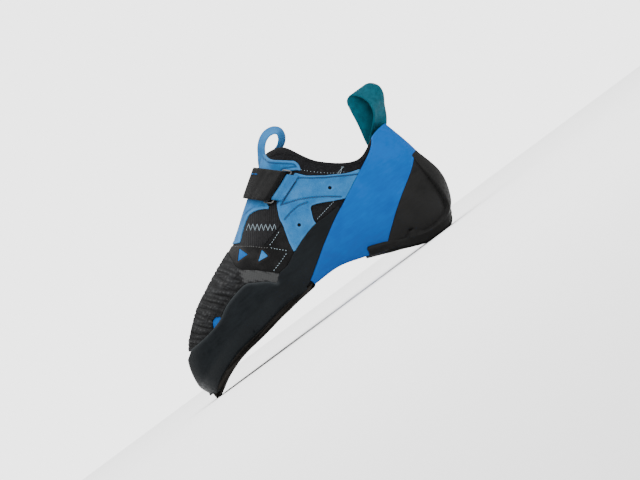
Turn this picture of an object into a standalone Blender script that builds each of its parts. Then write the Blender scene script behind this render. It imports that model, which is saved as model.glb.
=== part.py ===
# Climbing shoe for the left foot: a downturned slip-on with one strap.
# Frame: toe at -X, heel at +X, outer side of the foot at -Y, inner side at +Y, +Z up.
# The origin is the middle of the flat spot under the heel, on the floor.
import math
from collections import namedtuple

import bmesh
import bpy
from mathutils import Vector
from mathutils.bvhtree import BVHTree

# Driving sizes of the last, in metres
LENGTH = 0.250            # upper alone, toe tip to back of heel
BALL_WIDTH = 0.086        # across the ball of the foot
INSTEP_HEIGHT = 0.134     # floor to the top of the throat
HEEL_HEIGHT = 0.096       # floor to the collar at the back
ARCH_RISE = 0.024         # how far the waist stands above toe and heel
HEEL_REST = 0.225         # toe tip to the middle of the heel's flat spot

# Thicknesses
UPPER_WALL = 0.0016
BINDING = 0.0008          # extra thickness of the elastic round the collar
SUEDE = 0.0012
FACING = 0.0009           # black reinforcement over the toe joint
PATCH = 0.0016
RAND = 0.0018
SLING = 0.0022
CUP = 0.0020
INSOLE = 0.0016
SOLE = 0.0056
TREAD = 0.0038
WEBBING = 0.0014
GAP = 0.0003              # between touching pieces
FLAT_DIP = 0.0008         # how deep the floor trims toe and heel

# Widths and details
SOLE_EDGE = 0.0024        # how far the sole's edge stands out past the feather line
LASTING_MARGIN = 0.009    # upper turned in under the foot
INSOLE_INSET = 0.0032
TREAD_HALF_WIDTH = 0.021
STRAP_WIDTH = 0.0255
RING_WIRE = 0.0020        # diameter
RING_SPAN = 0.0064        # between the ring's two long bars
RING_OVERHANG = 0.0030    # each end of the ring past the strap's edge
TAB_LENGTH = 0.0070       # suede folded over the ring and sewn down
TAB_INSET = 0.0020        # tab narrower than the strap, at each edge
CUT_BELOW = 0.010         # how far cutters reach below the floor
HEEL_LOOP_WIDTH = 0.019
FRONT_LOOP_WIDTH = 0.011

# The last, as four levels. Each row is one section: its place along the shoe as a share of
# LENGTH, its height, and its reach to the outer and the inner side as shares of BALL_WIDTH.
# Heights are shares of INSTEP_HEIGHT, but of ARCH_RISE in FEATHER. A negative reach to the
# outer side is a point on the inner side of the middle line.
Row = namedtuple("Row", "along height outer inner")
SECTIONS = ("toe", "toe_side", "toes", "ball_front", "ball", "vamp", "instep", "throat",
            "collar_front", "ankle", "heel_side", "heel_quarter", "heel_back")
FEATHER = (Row(0.012, 0.00, -0.163, 0.163), Row(0.034, 0.03, 0.047, 0.326),
           Row(0.088, 0.36, 0.244, 0.407), Row(0.168, 0.65, 0.384, 0.459),
           Row(0.264, 0.80, 0.448, 0.465), Row(0.368, 0.97, 0.442, 0.407),
           Row(0.484, 1.00, 0.366, 0.296), Row(0.580, 0.99, 0.302, 0.244),
           Row(0.672, 0.71, 0.262, 0.238), Row(0.768, 0.39, 0.246, 0.240),
           Row(0.864, 0.01, 0.238, 0.238), Row(0.932, 0.00, 0.167, 0.167),
           Row(0.964, 0.17, 0.000, 0.000))
BELLY = (Row(0.000, 0.127, -0.163, 0.163), Row(0.022, 0.142, 0.105, 0.360),
         Row(0.080, 0.194, 0.291, 0.436), Row(0.160, 0.254, 0.430, 0.494),
         Row(0.256, 0.299, 0.488, 0.512), Row(0.360, 0.328, 0.488, 0.465),
         Row(0.468, 0.351, 0.436, 0.395), Row(0.580, 0.358, 0.378, 0.349),
         Row(0.680, 0.328, 0.343, 0.337), Row(0.780, 0.276, 0.343, 0.343),
         Row(0.876, 0.231, 0.330, 0.330), Row(0.958, 0.231, 0.216, 0.216),
         Row(0.998, 0.275, 0.000, 0.000))
SHOULDER = (Row(0.014, 0.254, -0.150, 0.150), Row(0.040, 0.284, 0.047, 0.314),
            Row(0.096, 0.358, 0.198, 0.360), Row(0.172, 0.440, 0.314, 0.384),
            Row(0.260, 0.515, 0.360, 0.372), Row(0.360, 0.575, 0.360, 0.337),
            Row(0.468, 0.642, 0.331, 0.308), Row(0.584, 0.694, 0.314, 0.291),
            Row(0.672, 0.672, 0.320, 0.314), Row(0.752, 0.567, 0.320, 0.320),
            Row(0.852, 0.507, 0.302, 0.302), Row(0.944, 0.507, 0.209, 0.209),
            Row(0.986, 0.507, 0.000, 0.000))
# The top rows run along the ridge of the foot up to the throat, then round the collar.
TOP = (Row(0.052, 0.369, -0.140, 0.140), Row(0.076, 0.414, -0.134, 0.134),
       Row(0.120, 0.478, -0.110, 0.110), Row(0.184, 0.542, -0.081, 0.081),
       Row(0.264, 0.612, -0.058, 0.058), Row(0.356, 0.687, -0.035, 0.035),
       Row(0.456, 0.818, -0.012, 0.012), Row(0.600, 0.998, 0.000, 0.000),
       Row(0.660, 0.966, 0.221, 0.221), Row(0.724, 0.776, 0.291, 0.291),
       Row(0.824, 0.646, 0.308, 0.308), Row(0.916, 0.705, 0.209, 0.209),
       Row(0.960, 0.716, 0.000, 0.000))
THROAT = SECTIONS.index("throat")
LAST_SECTION = len(SECTIONS) - 1

# How finely the last is sampled: steps between sections, and places up each column, where
# 0 is the feather line, 1 the belly, 2 the shoulder and 3 the ridge or collar.
STEPS = (2, 2, 2, 2, 2, 2, 3, 2, 3, 2, 2, 2)
BINDING_START = 2.80      # how far up each column the elastic's lower edge lies
BINDING_END = 0.84        # share of LENGTH where the sling takes over the collar's edge
RISES = (0.0, 0.3, 0.65, 1.0, 1.4, 1.75, 2.1, 2.35, 2.58, BINDING_START, 3.0)
BINDING_ROW = RISES.index(BINDING_START)
UNDERSIDE = (0.34, 0.67)  # places from the feather line to the middle of the underside
TUCK = 0.014              # how far under the foot the walls' curve starts
FRONT_LIFT = SOLE + 2 * GAP - FLAT_DIP
REAR_LIFT = TREAD + SLING + 2 * GAP - FLAT_DIP

# Seams in the side view, as shares of LENGTH and of INSTEP_HEIGHT, each listed from the
# front or the top of the shoe. Neighbouring panels share a seam and stop GAP apart.
Stitch = namedtuple("Stitch", "along height")
SLING_FRONT = (Stitch(0.930, 0.800), Stitch(0.888, 0.664), Stitch(0.804, 0.575),
               Stitch(0.716, 0.493), Stitch(0.648, 0.433), Stitch(0.532, 0.306),
               Stitch(0.484, 0.250), Stitch(0.440, 0.200))
SLING_REAR = (Stitch(1.080, 0.580), Stitch(0.996, 0.493), Stitch(0.940, 0.403),
              Stitch(0.872, 0.321), Stitch(0.808, 0.239), Stitch(0.752, 0.157),
              Stitch(0.712, 0.060), Stitch(0.700, 0.000))
RAND_TOP = (Stitch(0.716, 0.493), Stitch(0.644, 0.486), Stitch(0.592, 0.485),
            Stitch(0.544, 0.463), Stitch(0.490, 0.425), Stitch(0.450, 0.388),
            Stitch(0.414, 0.378), Stitch(0.389, 0.340), Stitch(0.370, 0.378),
            Stitch(0.340, 0.413), Stitch(0.308, 0.443), Stitch(0.259, 0.430),
            Stitch(0.217, 0.405), Stitch(0.177, 0.364), Stitch(0.134, 0.340),
            Stitch(0.082, 0.325), Stitch(0.014, 0.316), Stitch(-0.060, 0.316))
PATCH_REAR = (Stitch(0.318, 0.720), Stitch(0.322, 0.660), Stitch(0.320, 0.606),
              Stitch(0.321, 0.537), Stitch(0.362, 0.470), Stitch(0.400, 0.402))
VAMP_TOP = (Stitch(0.326, 0.720), Stitch(0.330, 0.692), Stitch(0.370, 0.643),
            Stitch(0.408, 0.583), Stitch(0.435, 0.561), Stitch(0.491, 0.584))
SIDE_FRONT = (Stitch(0.540, 0.724), Stitch(0.518, 0.640), Stitch(0.513, 0.592),
              Stitch(0.507, 0.557), Stitch(0.496, 0.490))
SIDE_TOP = (Stitch(0.644, 0.800), Stitch(0.660, 0.762), Stitch(0.676, 0.728),
            Stitch(0.732, 0.658), Stitch(0.776, 0.616), Stitch(0.818, 0.590))
SIDE_WINDOW = (Stitch(0.735, 0.480), Stitch(0.684, 0.536), Stitch(0.655, 0.565),
               Stitch(0.630, 0.584), Stitch(0.619, 0.583), Stitch(0.611, 0.559),
               Stitch(0.602, 0.488), Stitch(0.650, 0.440))
TONGUE_EDGE = (Stitch(0.280, 0.760), Stitch(0.333, 0.696), Stitch(0.372, 0.658),
               Stitch(0.401, 0.704), Stitch(0.433, 0.746), Stitch(0.452, 0.760),
               Stitch(0.475, 0.755), Stitch(0.494, 0.739), Stitch(0.512, 0.716),
               Stitch(0.516, 0.766), Stitch(0.619, 0.843), Stitch(0.650, 0.812),
               Stitch(0.662, 0.790), Stitch(0.668, 0.824), Stitch(0.665, 0.856),
               Stitch(0.650, 0.882), Stitch(0.613, 0.941), Stitch(0.604, 0.972),
               Stitch(0.603, 1.004), Stitch(0.590, 1.100))
TREAD_TOP = (Stitch(0.600, 0.194), Stitch(0.655, 0.193), Stitch(0.676, 0.199),
             Stitch(0.701, 0.190), Stitch(0.742, 0.151), Stitch(0.786, 0.109),
             Stitch(0.831, 0.081), Stitch(0.880, 0.070), Stitch(0.920, 0.076),
             Stitch(0.940, 0.110), Stitch(0.946, 0.250), Stitch(0.940, 0.462),
             Stitch(1.040, 0.500))
TreadWidth = namedtuple("TreadWidth", "place half")
TREAD_PLAN = (TreadWidth(0.641, 0.00), TreadWidth(0.644, 0.35), TreadWidth(0.652, 0.60),
              TreadWidth(0.668, 0.82), TreadWidth(0.692, 0.98), TreadWidth(0.740, 1.12),
              TreadWidth(1.100, 1.60))
TREAD_BACK = (TreadWidth(-0.10, 1.60), TreadWidth(0.085, 1.30), TreadWidth(0.140, 1.00),
              TreadWidth(0.250, 0.80), TreadWidth(0.400, 0.66), TreadWidth(0.600, 0.56))
CUT_OUT_SIZE = 0.0100     # side of the triangular openings in the vamp panel
CUT_OUTS = (Stitch(0.351, 0.600), Stitch(0.404, 0.519))
CUT_OUT_TURN = math.radians(-62)

# The strap's lie: it runs square to a line that leans from the sole up to the heel.
STRAP_LEAN = math.radians(45)
STRAP_FRONT = Stitch(0.460, 0.873)  # its front edge on the ridge, above the tongue panel
STRAP_HUB_DEPTH = 0.046             # from that point in to the strap's centre of turn
RING_TURN_FRONT = math.radians(38)  # from the ridge down to the ring, at the front edge
RING_TURN_REAR = math.radians(55)
STRAP_END_TURN = math.radians(30)   # where the folded ply ends on the inner side

# Pull loops, as places round the loop in metres from its root, with its twist in degrees
LoopRow = namedtuple("LoopRow", "along height twist")
HEEL_LOOP_ROOT = Stitch(0.960, 0.716)
HEEL_LOOP = (LoopRow(-0.0092, -0.0070, 0), LoopRow(-0.0092, -0.0010, 2),
             LoopRow(-0.0098, 0.0060, 20), LoopRow(-0.0116, 0.0140, 34),
             LoopRow(-0.0112, 0.0220, 41), LoopRow(-0.0072, 0.0300, 48),
             LoopRow(-0.0004, 0.0352, 52), LoopRow(0.0064, 0.0346, 50),
             LoopRow(0.0096, 0.0280, 44), LoopRow(0.0088, 0.0195, 36),
             LoopRow(0.0046, 0.0110, 22), LoopRow(-0.0016, 0.0050, 8),
             LoopRow(-0.0064, 0.0005, 0), LoopRow(-0.0073, -0.0065, 0))
FRONT_LOOP_ROOT = Stitch(0.600, 0.998)
FRONT_LOOP = (LoopRow(-0.0092, -0.0027, 0), LoopRow(-0.0064, 0.0002, 0),
              LoopRow(-0.0046, 0.0044, 12), LoopRow(-0.0015, 0.0088, 26),
              LoopRow(0.0040, 0.0122, 36), LoopRow(0.0110, 0.0134, 40),
              LoopRow(0.0172, 0.0114, 40), LoopRow(0.0196, 0.0068, 34),
              LoopRow(0.0165, 0.0018, 20), LoopRow(0.0110, -0.0008, 8),
              LoopRow(0.0060, -0.0032, 0), LoopRow(0.0020, -0.0058, 0),
              LoopRow(-0.0020, -0.0082, 0), LoopRow(-0.0060, -0.0108, 0))

NAME = "climbing_shoe_left"
BLACK = (0.018, 0.018, 0.019)
RUBBER_BLACK = (0.020, 0.024, 0.027)
SUEDE_BLUE = (0.075, 0.310, 0.590)
SLING_BLUE = (0.010, 0.215, 0.580)
TEAL = (0.005, 0.165, 0.230)
STEEL = (0.620, 0.620, 0.600)


# Start from an empty scene
def clear_scene():
    for thing in list(bpy.data.objects):
        bpy.data.objects.remove(thing, do_unlink=True)


def new_collection(name):
    collection = bpy.data.collections.new(name)
    bpy.context.scene.collection.children.link(collection)
    return collection


def finish_material(name, colour, roughness, metallic=0.0):
    material = bpy.data.materials.new(name)
    material.use_nodes = True
    shader = material.node_tree.nodes["Principled BSDF"]
    shader.inputs["Base Color"].default_value = (*colour, 1.0)
    shader.inputs["Roughness"].default_value = roughness
    shader.inputs["Metallic"].default_value = metallic
    return material


def add_object(collection, name, mesh, material=None):
    thing = bpy.data.objects.new(name, mesh)
    collection.objects.link(thing)
    if material:
        mesh.materials.append(material)
        mesh.shade_smooth()
        mesh.set_sharp_from_angle(angle=math.radians(40))
    return thing


def mesh_from(name, points, faces):
    mesh = bpy.data.meshes.new(name)
    mesh.from_pydata([tuple(point) for point in points], [], faces)
    shape = bmesh.new()
    shape.from_mesh(mesh)
    bmesh.ops.recalc_face_normals(shape, faces=shape.faces)
    shape.to_mesh(mesh)
    shape.free()
    return mesh


# Curves
def spline(points, place):
    """Catmull-Rom curve through points; place runs from 1 to len(points) - 2."""
    index = min(int(math.floor(place)), len(points) - 3)
    share = place - index
    before, start, end, after = points[index - 1:index + 3]
    return 0.5 * (2 * start + (end - before) * share
                  + (2 * before - 5 * start + 4 * end - after) * share ** 2
                  + (3 * start - before - 3 * end + after) * share ** 3)


def smooth_line(points, steps):
    """Open curve through all of its points, with steps pieces between two of them."""
    ends = [2 * points[0] - points[1]] + list(points) + [2 * points[-1] - points[-2]]
    count = (len(points) - 1) * steps
    return [spline(ends, 1 + number / steps) for number in range(count + 1)]


def blend(low, high, share):
    return low + (high - low) * min(1.0, max(0.0, share))


# The last
def heel_stretch(along):
    """How much the table's heights are stretched behind the throat to meet HEEL_HEIGHT."""
    whole = HEEL_HEIGHT / (TOP[-1].height * INSTEP_HEIGHT)
    return blend(1.0, whole, (along - 0.6) / 0.2)


def side_point(along, height):
    """A point of the side view, from its shares."""
    z = height * INSTEP_HEIGHT * heel_stretch(along)
    return Vector((along * LENGTH - HEEL_REST, 0.0, z))


def level_point(level, row, side):
    reach = row.outer if side < 0 else row.inner
    point = side_point(row.along, row.height)
    if level is FEATHER:
        lift = blend(FRONT_LIFT, REAR_LIFT, (row.along - 0.4) / 0.4)
        point.z = lift + row.height * ARCH_RISE
    point.y = side * reach * BALL_WIDTH
    return point


def closed_level(level, first=0):
    """One level as a closed row of points: out along the outer side, back on the inner."""
    outer = [level_point(level, row, -1) for row in level[first:]]
    inner = [level_point(level, row, 1) for row in level[first + 1:-1]]
    return outer + inner[::-1]


def read_closed(points, place):
    count = len(points)
    index = int(math.floor(place))
    around = [points[(index + step) % count] for step in (-1, 0, 1, 2)]
    return spline(around, 1 + place - index)


def section_places():
    """Section number of each column, from the toe tip to the back of the heel."""
    places = [0.0]
    for number, steps in enumerate(STEPS):
        places += [number + step / steps for step in range(1, steps + 1)]
    return places


PLACES = section_places()
COLUMNS = len(PLACES) - 1
THROAT_COLUMN = PLACES.index(float(THROAT))
RIDGE_ROW = len(RISES) - 1


def top_point(place, side):
    if place <= THROAT:
        ridge = [level_point(TOP, row, -1) for row in TOP[:THROAT + 1]]
        ends = [2 * ridge[0] - ridge[1]] + ridge + [2 * ridge[-1] - ridge[-2]]
        return spline(ends, 1 + place)
    collar = closed_level(TOP, THROAT)
    return read_closed(collar, side_place(place - THROAT, side, len(collar)))


def side_place(place, side, count):
    return place if side < 0 else (count - place) % count


def column_controls(place, side):
    """The four levels of one column, with a point before and after to steer the curve."""
    levels = []
    for level in (FEATHER, BELLY, SHOULDER):
        points = closed_level(level)
        levels.append(read_closed(points, side_place(place, side, len(points))))
    feather, _, shoulder = levels
    top = top_point(place, side)
    points = closed_level(FEATHER)
    around = side_place(place, side, len(points))
    step = 0.05
    run = read_closed(points, around + step) - read_closed(points, around - step)
    inward = Vector((-run.y, run.x, 0.0)).normalized()
    tucked = feather - inward * TUCK
    points = closed_level(SHOULDER)
    across = read_closed(points, side_place(place, -side, len(points)))
    upright = top + (top - shoulder) * 0.5
    beyond = across.lerp(upright, min(1.0, max(0.0, place - THROAT)))
    if place < 1.0:
        beyond = top_point(1.6, side).lerp(across, place)
    return [tucked] + levels + [top, beyond]


def is_seam(column, row):
    """Columns at toe and heel, and the ridge, belong to both sides."""
    on_ridge = row == RIDGE_ROW and column <= THROAT_COLUMN
    return column in (0, COLUMNS) or on_ridge


def surface_points():
    """The last's surface by (side, column, row); rows below 0 cross the underside."""
    points = {}
    for side in (-1, 1):
        for column, place in enumerate(PLACES):
            controls = column_controls(place, side)
            for row, rise in enumerate(RISES):
                points[side, column, row] = spline(controls, 1 + rise)
    for column in range(COLUMNS + 1):
        for row in range(RIDGE_ROW + 1):
            if is_seam(column, row):
                points[1, column, row] = points[-1, column, row]
    for column in range(COLUMNS + 1):
        outer, inner = points[-1, column, 0], points[1, column, 0]
        middle = (outer + inner) / 2
        for side, edge in ((-1, outer), (1, inner)):
            for number, share in enumerate(UNDERSIDE):
                points[side, column, -1 - number] = edge.lerp(middle, share)
            points[side, column, -1 - len(UNDERSIDE)] = middle.copy()
    return points


POINTS = surface_points()
MIDDLE_ROW = -1 - len(UNDERSIDE)


def vertex_key(side, column, row):
    """One name for each point of the surface, also where two sides share it."""
    if column in (0, COLUMNS) and row < 0:
        return (-1, column, 0)
    if is_seam(column, row) or row == MIDDLE_ROW:
        return (-1, column, row)
    return (side, column, row)


def surface_faces(lowest, sides=(-1, 1)):
    """Corner keys of every face from row lowest up to the ridge or collar."""
    faces = []
    for side in sides:
        for column in range(COLUMNS):
            for row in range(lowest, RIDGE_ROW):
                corners = [(column, row), (column + 1, row), (column + 1, row + 1),
                           (column, row + 1)]
                keys = [vertex_key(side, *corner) for corner in corners]
                if side > 0:
                    keys.reverse()
                for triangle in (keys[:3], keys[2:] + keys[:1]):
                    if len(set(triangle)) > 2:
                        faces.append(triangle)
    return faces


def open_edges(faces):
    """Edges with one face, as ordered pairs of keys."""
    seen = {}
    for face in faces:
        for start, end in zip(face, face[1:] + face[:1]):
            seen[start, end] = True
    return [edge for edge in seen if (edge[1], edge[0]) not in seen]


def surface_normals():
    """Outward offset direction of every key, long enough to keep a wall's thickness."""
    faces = surface_faces(MIDDLE_ROW)
    keys = list(dict.fromkeys(key for face in faces for key in face))
    numbers = {key: number for number, key in enumerate(keys)}
    mesh = mesh_from("last", [POINTS[key] for key in keys],
                     [[numbers[key] for key in face] for face in faces])
    shape = bmesh.new()
    shape.from_mesh(mesh)
    bpy.data.meshes.remove(mesh)
    shape.verts.ensure_lookup_table()
    shape.normal_update()
    outward = {}
    for key, number in numbers.items():
        vertex = shape.verts[number]
        outward[key] = vertex.normal * min(1.35, vertex.calc_shell_factor())
    if outward[-1, THROAT_COLUMN // 2, RIDGE_ROW].z < 0:
        outward = {key: -direction for key, direction in outward.items()}
    shape.free()
    return outward


OUTWARD = surface_normals()


def offset_point(key, distance):
    point = POINTS[key] + OUTWARD[key] * distance
    point.z = max(point.z, 0.0)
    return point


def shell_mesh(name, inner, outer, lowest=0, outer_step=None, sides=(-1, 1)):
    """A closed wall between two offsets of the last, open at the collar."""
    faces = surface_faces(lowest, sides)
    keys = list(dict.fromkeys(key for face in faces for key in face))
    numbers = {key: number for number, key in enumerate(keys)}
    step = outer_step or (lambda key: 0.0)
    points = [offset_point(key, outer + step(key)) for key in keys]
    points += [offset_point(key, inner) for key in keys]
    count = len(keys)
    outside = [[numbers[key] for key in face] for face in faces]
    inside = [[number + count for number in face[::-1]] for face in outside]
    rims = [[numbers[end], numbers[start], numbers[start] + count, numbers[end] + count]
            for start, end in open_edges(faces)]
    return mesh_from(name, points, outside + inside + rims)


def last_tree():
    """The last's surface, ready to be hit by rays."""
    faces = surface_faces(MIDDLE_ROW)
    keys = list(dict.fromkeys(key for face in faces for key in face))
    numbers = {key: number for number, key in enumerate(keys)}
    return BVHTree.FromPolygons([POINTS[key] for key in keys],
                                [[numbers[key] for key in face] for face in faces])


# Panels cut from a shell by their outline in the side view
SEAM_HALF = GAP / 2 + 0.0001   # each panel's share of the gap along a seam


def seam_line(rows, shift=0.0, steps=2):
    """An open seam as points of the side view, moved by shift to the left of its run."""
    line = smooth_line([side_point(row.along, row.height) for row in rows], steps)
    ends = [2 * line[0] - line[1]] + line + [2 * line[-1] - line[-2]]
    return [moved_corner(*ends[number:number + 3], shift) for number in range(len(line))]


def moved_corner(before, point, after, shift):
    left = Vector((0.0, 0.0, 0.0))
    for run in ((point - before).normalized(), (after - point).normalized()):
        left += Vector((-run.z, 0.0, run.x))
    return point + left * (shift / max(0.5, left.length_squared / 2))


def outline(rows, shift=SEAM_HALF):
    """A closed outline of the side view, from stitches in order, drawn in by shift."""
    points = [side_point(row.along, row.height) for row in rows]
    around = list(zip(points[-1:] + points[:-1], points, points[1:] + points[:1]))
    area = sum(point.x * after.z - point.z * after.x for _, point, after in around)
    return [moved_corner(*corner, math.copysign(shift, area)) for corner in around]


def prism(collection, name, outline, depth=Vector((0.0, 0.5, 0.0))):
    """A closed outline drawn out both ways along depth, to cut with."""
    count = len(outline)
    points = [point - depth for point in outline] + [point + depth for point in outline]
    faces = [list(range(count)), list(range(2 * count - 1, count - 1, -1))]
    for number in range(count):
        after = (number + 1) % count
        faces.append([number, after, after + count, number + count])
    cutter = add_object(collection, name, mesh_from(name, points, faces))
    cutter.hide_render = True
    cutter.display_type = "WIRE"
    return cutter


UP = Vector((0.0, 0.0, 0.4))
DOWN = -UP
HEELWARD = Vector((0.4, 0.0, 0.0))
TOEWARD = -HEELWARD


def side_of(collection, name, line, towards):
    """Everything on one side of a seam line."""
    return prism(collection, name, line + [line[-1] + towards, line[0] + towards])


def cut(thing, cutter, operation="INTERSECT"):
    modifier = thing.modifiers.new(cutter.name, "BOOLEAN")
    modifier.operation = operation
    modifier.solver = "EXACT"
    modifier.object = cutter


def feather_line(shift):
    """The feather line in the side view, from the heel to the toe and on past its tip."""
    line = [POINTS[-1, column, 0].copy() for column in range(COLUMNS, -1, -1)]
    line.append(line[-1] + Vector((-0.1 * LENGTH, 0.0, 0.0)))
    for point in line:
        point.y = 0.0
        point.z += shift
    return line


# Ribbons
def ribbon_mesh(name, paths, thickness):
    """A ribbon through paths that run side by side, each with the same number of places."""
    across = len(paths)
    length = len(paths[0])
    rows = []
    for number in range(length):
        ahead = min(number + 1, length - 1)
        back = max(number - 1, 0)
        row = []
        for place, path in enumerate(paths):
            run = path[ahead] - path[back]
            width = (paths[min(place + 1, across - 1)][number]
                     - paths[max(place - 1, 0)][number])
            normal = run.cross(width).normalized() * (thickness / 2)
            row.append((path[number] + normal, path[number] - normal))
        rows.append(row)
    return sheet_mesh(name, rows)


STRAP_RUN = Vector((math.cos(STRAP_LEAN), 0.0, math.sin(STRAP_LEAN)))
STRAP_OUT = Vector((-math.sin(STRAP_LEAN), 0.0, math.cos(STRAP_LEAN)))
FOLD_RADIUS = RING_WIRE / 2 + 1.6 * GAP + WEBBING / 2
TAB_FOLD_RADIUS = RING_WIRE / 2 + 1.6 * GAP + SUEDE / 2
STRAP_BED = GAP + SUEDE + 3 * GAP + WEBBING / 2
PLY_RISE = WEBBING + GAP
TAB_BED = GAP + SUEDE / 2
ACROSS = [number / 3 for number in range(4)]   # where strap and tab are sampled, as shares


def over_last(tree, across, turn, height):
    """A point over the last: across the strap's width, turned from the ridge to the side."""
    front = side_point(STRAP_FRONT.along, STRAP_FRONT.height)
    hub = front - STRAP_OUT * STRAP_HUB_DEPTH + STRAP_RUN * across
    direction = STRAP_OUT * math.cos(turn) + Vector((0.0, 1.0, 0.0)) * math.sin(turn)
    _, normal, _, reach = tree.ray_cast(hub, direction)
    return hub + direction * (reach + height / max(0.7, abs(normal.dot(direction))))


def ring_turn(across):
    share = across / STRAP_WIDTH
    return -(RING_TURN_FRONT + (RING_TURN_REAR - RING_TURN_FRONT) * share)


def down_from_ring(tree, across, distance, height):
    """A point at a distance down the outer side from where the strap meets its ring."""
    start = over_last(tree, across, ring_turn(across), 0.0)
    turn = ring_turn(across) - 0.1
    step = (over_last(tree, across, turn, 0.0) - start).length
    return over_last(tree, across, ring_turn(across) - 0.1 * distance / step, height)


def ring_frame(tree):
    """Outward and downward directions shared by everything folded round the ring."""
    down = Vector((0.0, 0.0, 0.0))
    for share in ACROSS:
        start = down_from_ring(tree, share * STRAP_WIDTH, -RING_SPAN / 2, 0.0)
        end = down_from_ring(tree, share * STRAP_WIDTH, RING_SPAN + TAB_LENGTH, 0.0)
        down += (end - start).normalized()
    down = (down - STRAP_RUN * down.dot(STRAP_RUN)).normalized()
    outward = STRAP_RUN.cross(down)
    return (outward if outward.y < 0 else -outward), down


def fold_place(tree, across, distance, height):
    """A point beside the ring, raised from the last along the ring's outward direction."""
    return down_from_ring(tree, across, distance, 0.0) + ring_frame(tree)[0] * height


def half_turn(centre, outward, onward, radius, steps):
    """Places round half a circle, from the inward side by way of onward to the outward."""
    angles = [math.pi * number / steps for number in range(1, steps)]
    return [centre - outward * (radius * math.cos(angle)) + onward * (radius * math.sin(angle))
            for angle in angles]


def strap_path(tree, across, steps=7):
    """In from the inner side, round the ring and back over itself."""
    ring = ring_turn(across)
    turns = [-ring * number / steps for number in range(steps, -steps, -1)]
    under = [over_last(tree, across, turn, STRAP_BED) for turn in turns]
    outward, down = ring_frame(tree)
    under.append(fold_place(tree, across, 0.0, STRAP_BED))
    fold = half_turn(under[-1] + outward * FOLD_RADIUS, outward, down, FOLD_RADIUS, 6)
    over = [fold_place(tree, across, 0.0, STRAP_BED + 2 * FOLD_RADIUS)]
    beyond = [STRAP_END_TURN * number / 4 for number in range(1, 5)]
    for number, turn in enumerate(turns[:steps - 1:-1] + beyond):
        lift = (2 * FOLD_RADIUS - PLY_RISE) * max(0.0, 0.62 - number * 0.25)
        over.append(over_last(tree, across, turn, STRAP_BED + PLY_RISE + lift))
    return under + fold + over


def tab_path(tree, across, steps=5):
    """Up over the outer panel, round the ring's lower bar and in beneath it."""
    over = []
    for number in range(steps):
        share = number / (steps - 1)
        height = blend(TAB_BED + GAP + SUEDE, TAB_BED + 2 * TAB_FOLD_RADIUS,
                       (share - 0.45) / 0.5)
        distance = RING_SPAN + TAB_LENGTH * (1 - share)
        over.append(fold_place(tree, across, distance, height))
    outward, down = ring_frame(tree)
    start = fold_place(tree, across, RING_SPAN, TAB_BED)
    fold = half_turn(start + outward * TAB_FOLD_RADIUS, outward, -down, TAB_FOLD_RADIUS, 6)
    return over + fold[::-1] + [start, fold_place(tree, across, RING_SPAN + TAB_LENGTH / 4,
                                                  TAB_BED)]


def ring_points(tree):
    """Axis of the ring's wire, once round: a bar in the strap's fold and one in the tab's."""
    bars = []
    for inset, distance, height in ((0.0, 0.0, STRAP_BED + FOLD_RADIUS),
                                    (TAB_INSET, RING_SPAN, TAB_BED + TAB_FOLD_RADIUS)):
        span = STRAP_WIDTH - 2 * inset
        bar = [fold_place(tree, inset + share * span, distance, height) for share in ACROSS]
        front = (bar[0] - bar[1]).normalized() * (inset + RING_OVERHANG)
        rear = (bar[-1] - bar[-2]).normalized() * (inset + RING_OVERHANG)
        bars.append([bar[0] + front] + bar + [bar[-1] + rear])
    upper, lower = bars
    rounded = []
    for bar, other in ((upper, lower), (lower[::-1], upper[::-1])):
        inner = bar[0].lerp(bar[1], 0.35), bar[-1].lerp(bar[-2], 0.35)
        rounded += [bar[0].lerp(other[0], 0.18), inner[0]] + bar[1:-1]
        rounded += [inner[1], bar[-1].lerp(other[-1], 0.18)]
    return rounded


def loop_paths(root, rows, width, steps, across=2):
    """Edges of a pull loop, twisted about the upright as the rows say."""
    places = smooth_line([Vector((row.along, row.twist, row.height)) for row in rows], steps)
    start = side_point(root.along, root.height)
    paths = []
    for number in range(across + 1):
        reach = (number / across - 0.5) * width
        path = []
        for place in places:
            twist = math.radians(place.y)
            side = Vector((math.sin(twist), math.cos(twist), 0.0))
            path.append(start + Vector((place.x, 0.0, place.z)) + side * reach)
        paths.append(path)
    return paths


def build():
    clear_scene()
    parts = new_collection(NAME)
    cutters = new_collection("cutters")
    black = finish_material("black_stretch_fabric", BLACK, 0.85)
    facing = finish_material("black_microfibre", BLACK, 0.75)
    rubber = finish_material("black_rubber", RUBBER_BLACK, 0.5)
    sling_rubber = finish_material("blue_rubber", SLING_BLUE, 0.5)
    suede = finish_material("blue_suede", SUEDE_BLUE, 0.9)
    webbing = finish_material("teal_webbing", TEAL, 0.8)
    strap_cloth = finish_material("black_webbing", BLACK, 0.8)
    steel = finish_material("ring_steel", STEEL, 0.3, 1.0)

    build_upper(parts, black)
    build_insole(parts, black)
    build_outsole(parts, rubber)
    build_tread(parts, cutters, rubber)
    build_rubber(parts, cutters, rubber, sling_rubber)
    build_panels(parts, cutters, facing, rubber, suede)
    build_strap(parts, strap_cloth, suede, steel)
    build_loops(parts, suede, webbing)


def binding(key):
    """Extra offset of the upper's outside where the elastic runs round the collar."""
    _, column, row = key
    in_band = row >= BINDING_ROW and column > THROAT_COLUMN + 1
    clear_of_sling = POINTS[key].x < BINDING_END * LENGTH - HEEL_REST
    return BINDING if in_band and clear_of_sling else 0.0


def raised(face):
    """A face's corners with their offsets; the elastic lifts the faces of the top row."""
    in_band = min(row for _, _, row in face) >= BINDING_ROW
    return [(key, binding(key) if in_band else 0.0) for key in face]


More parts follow.
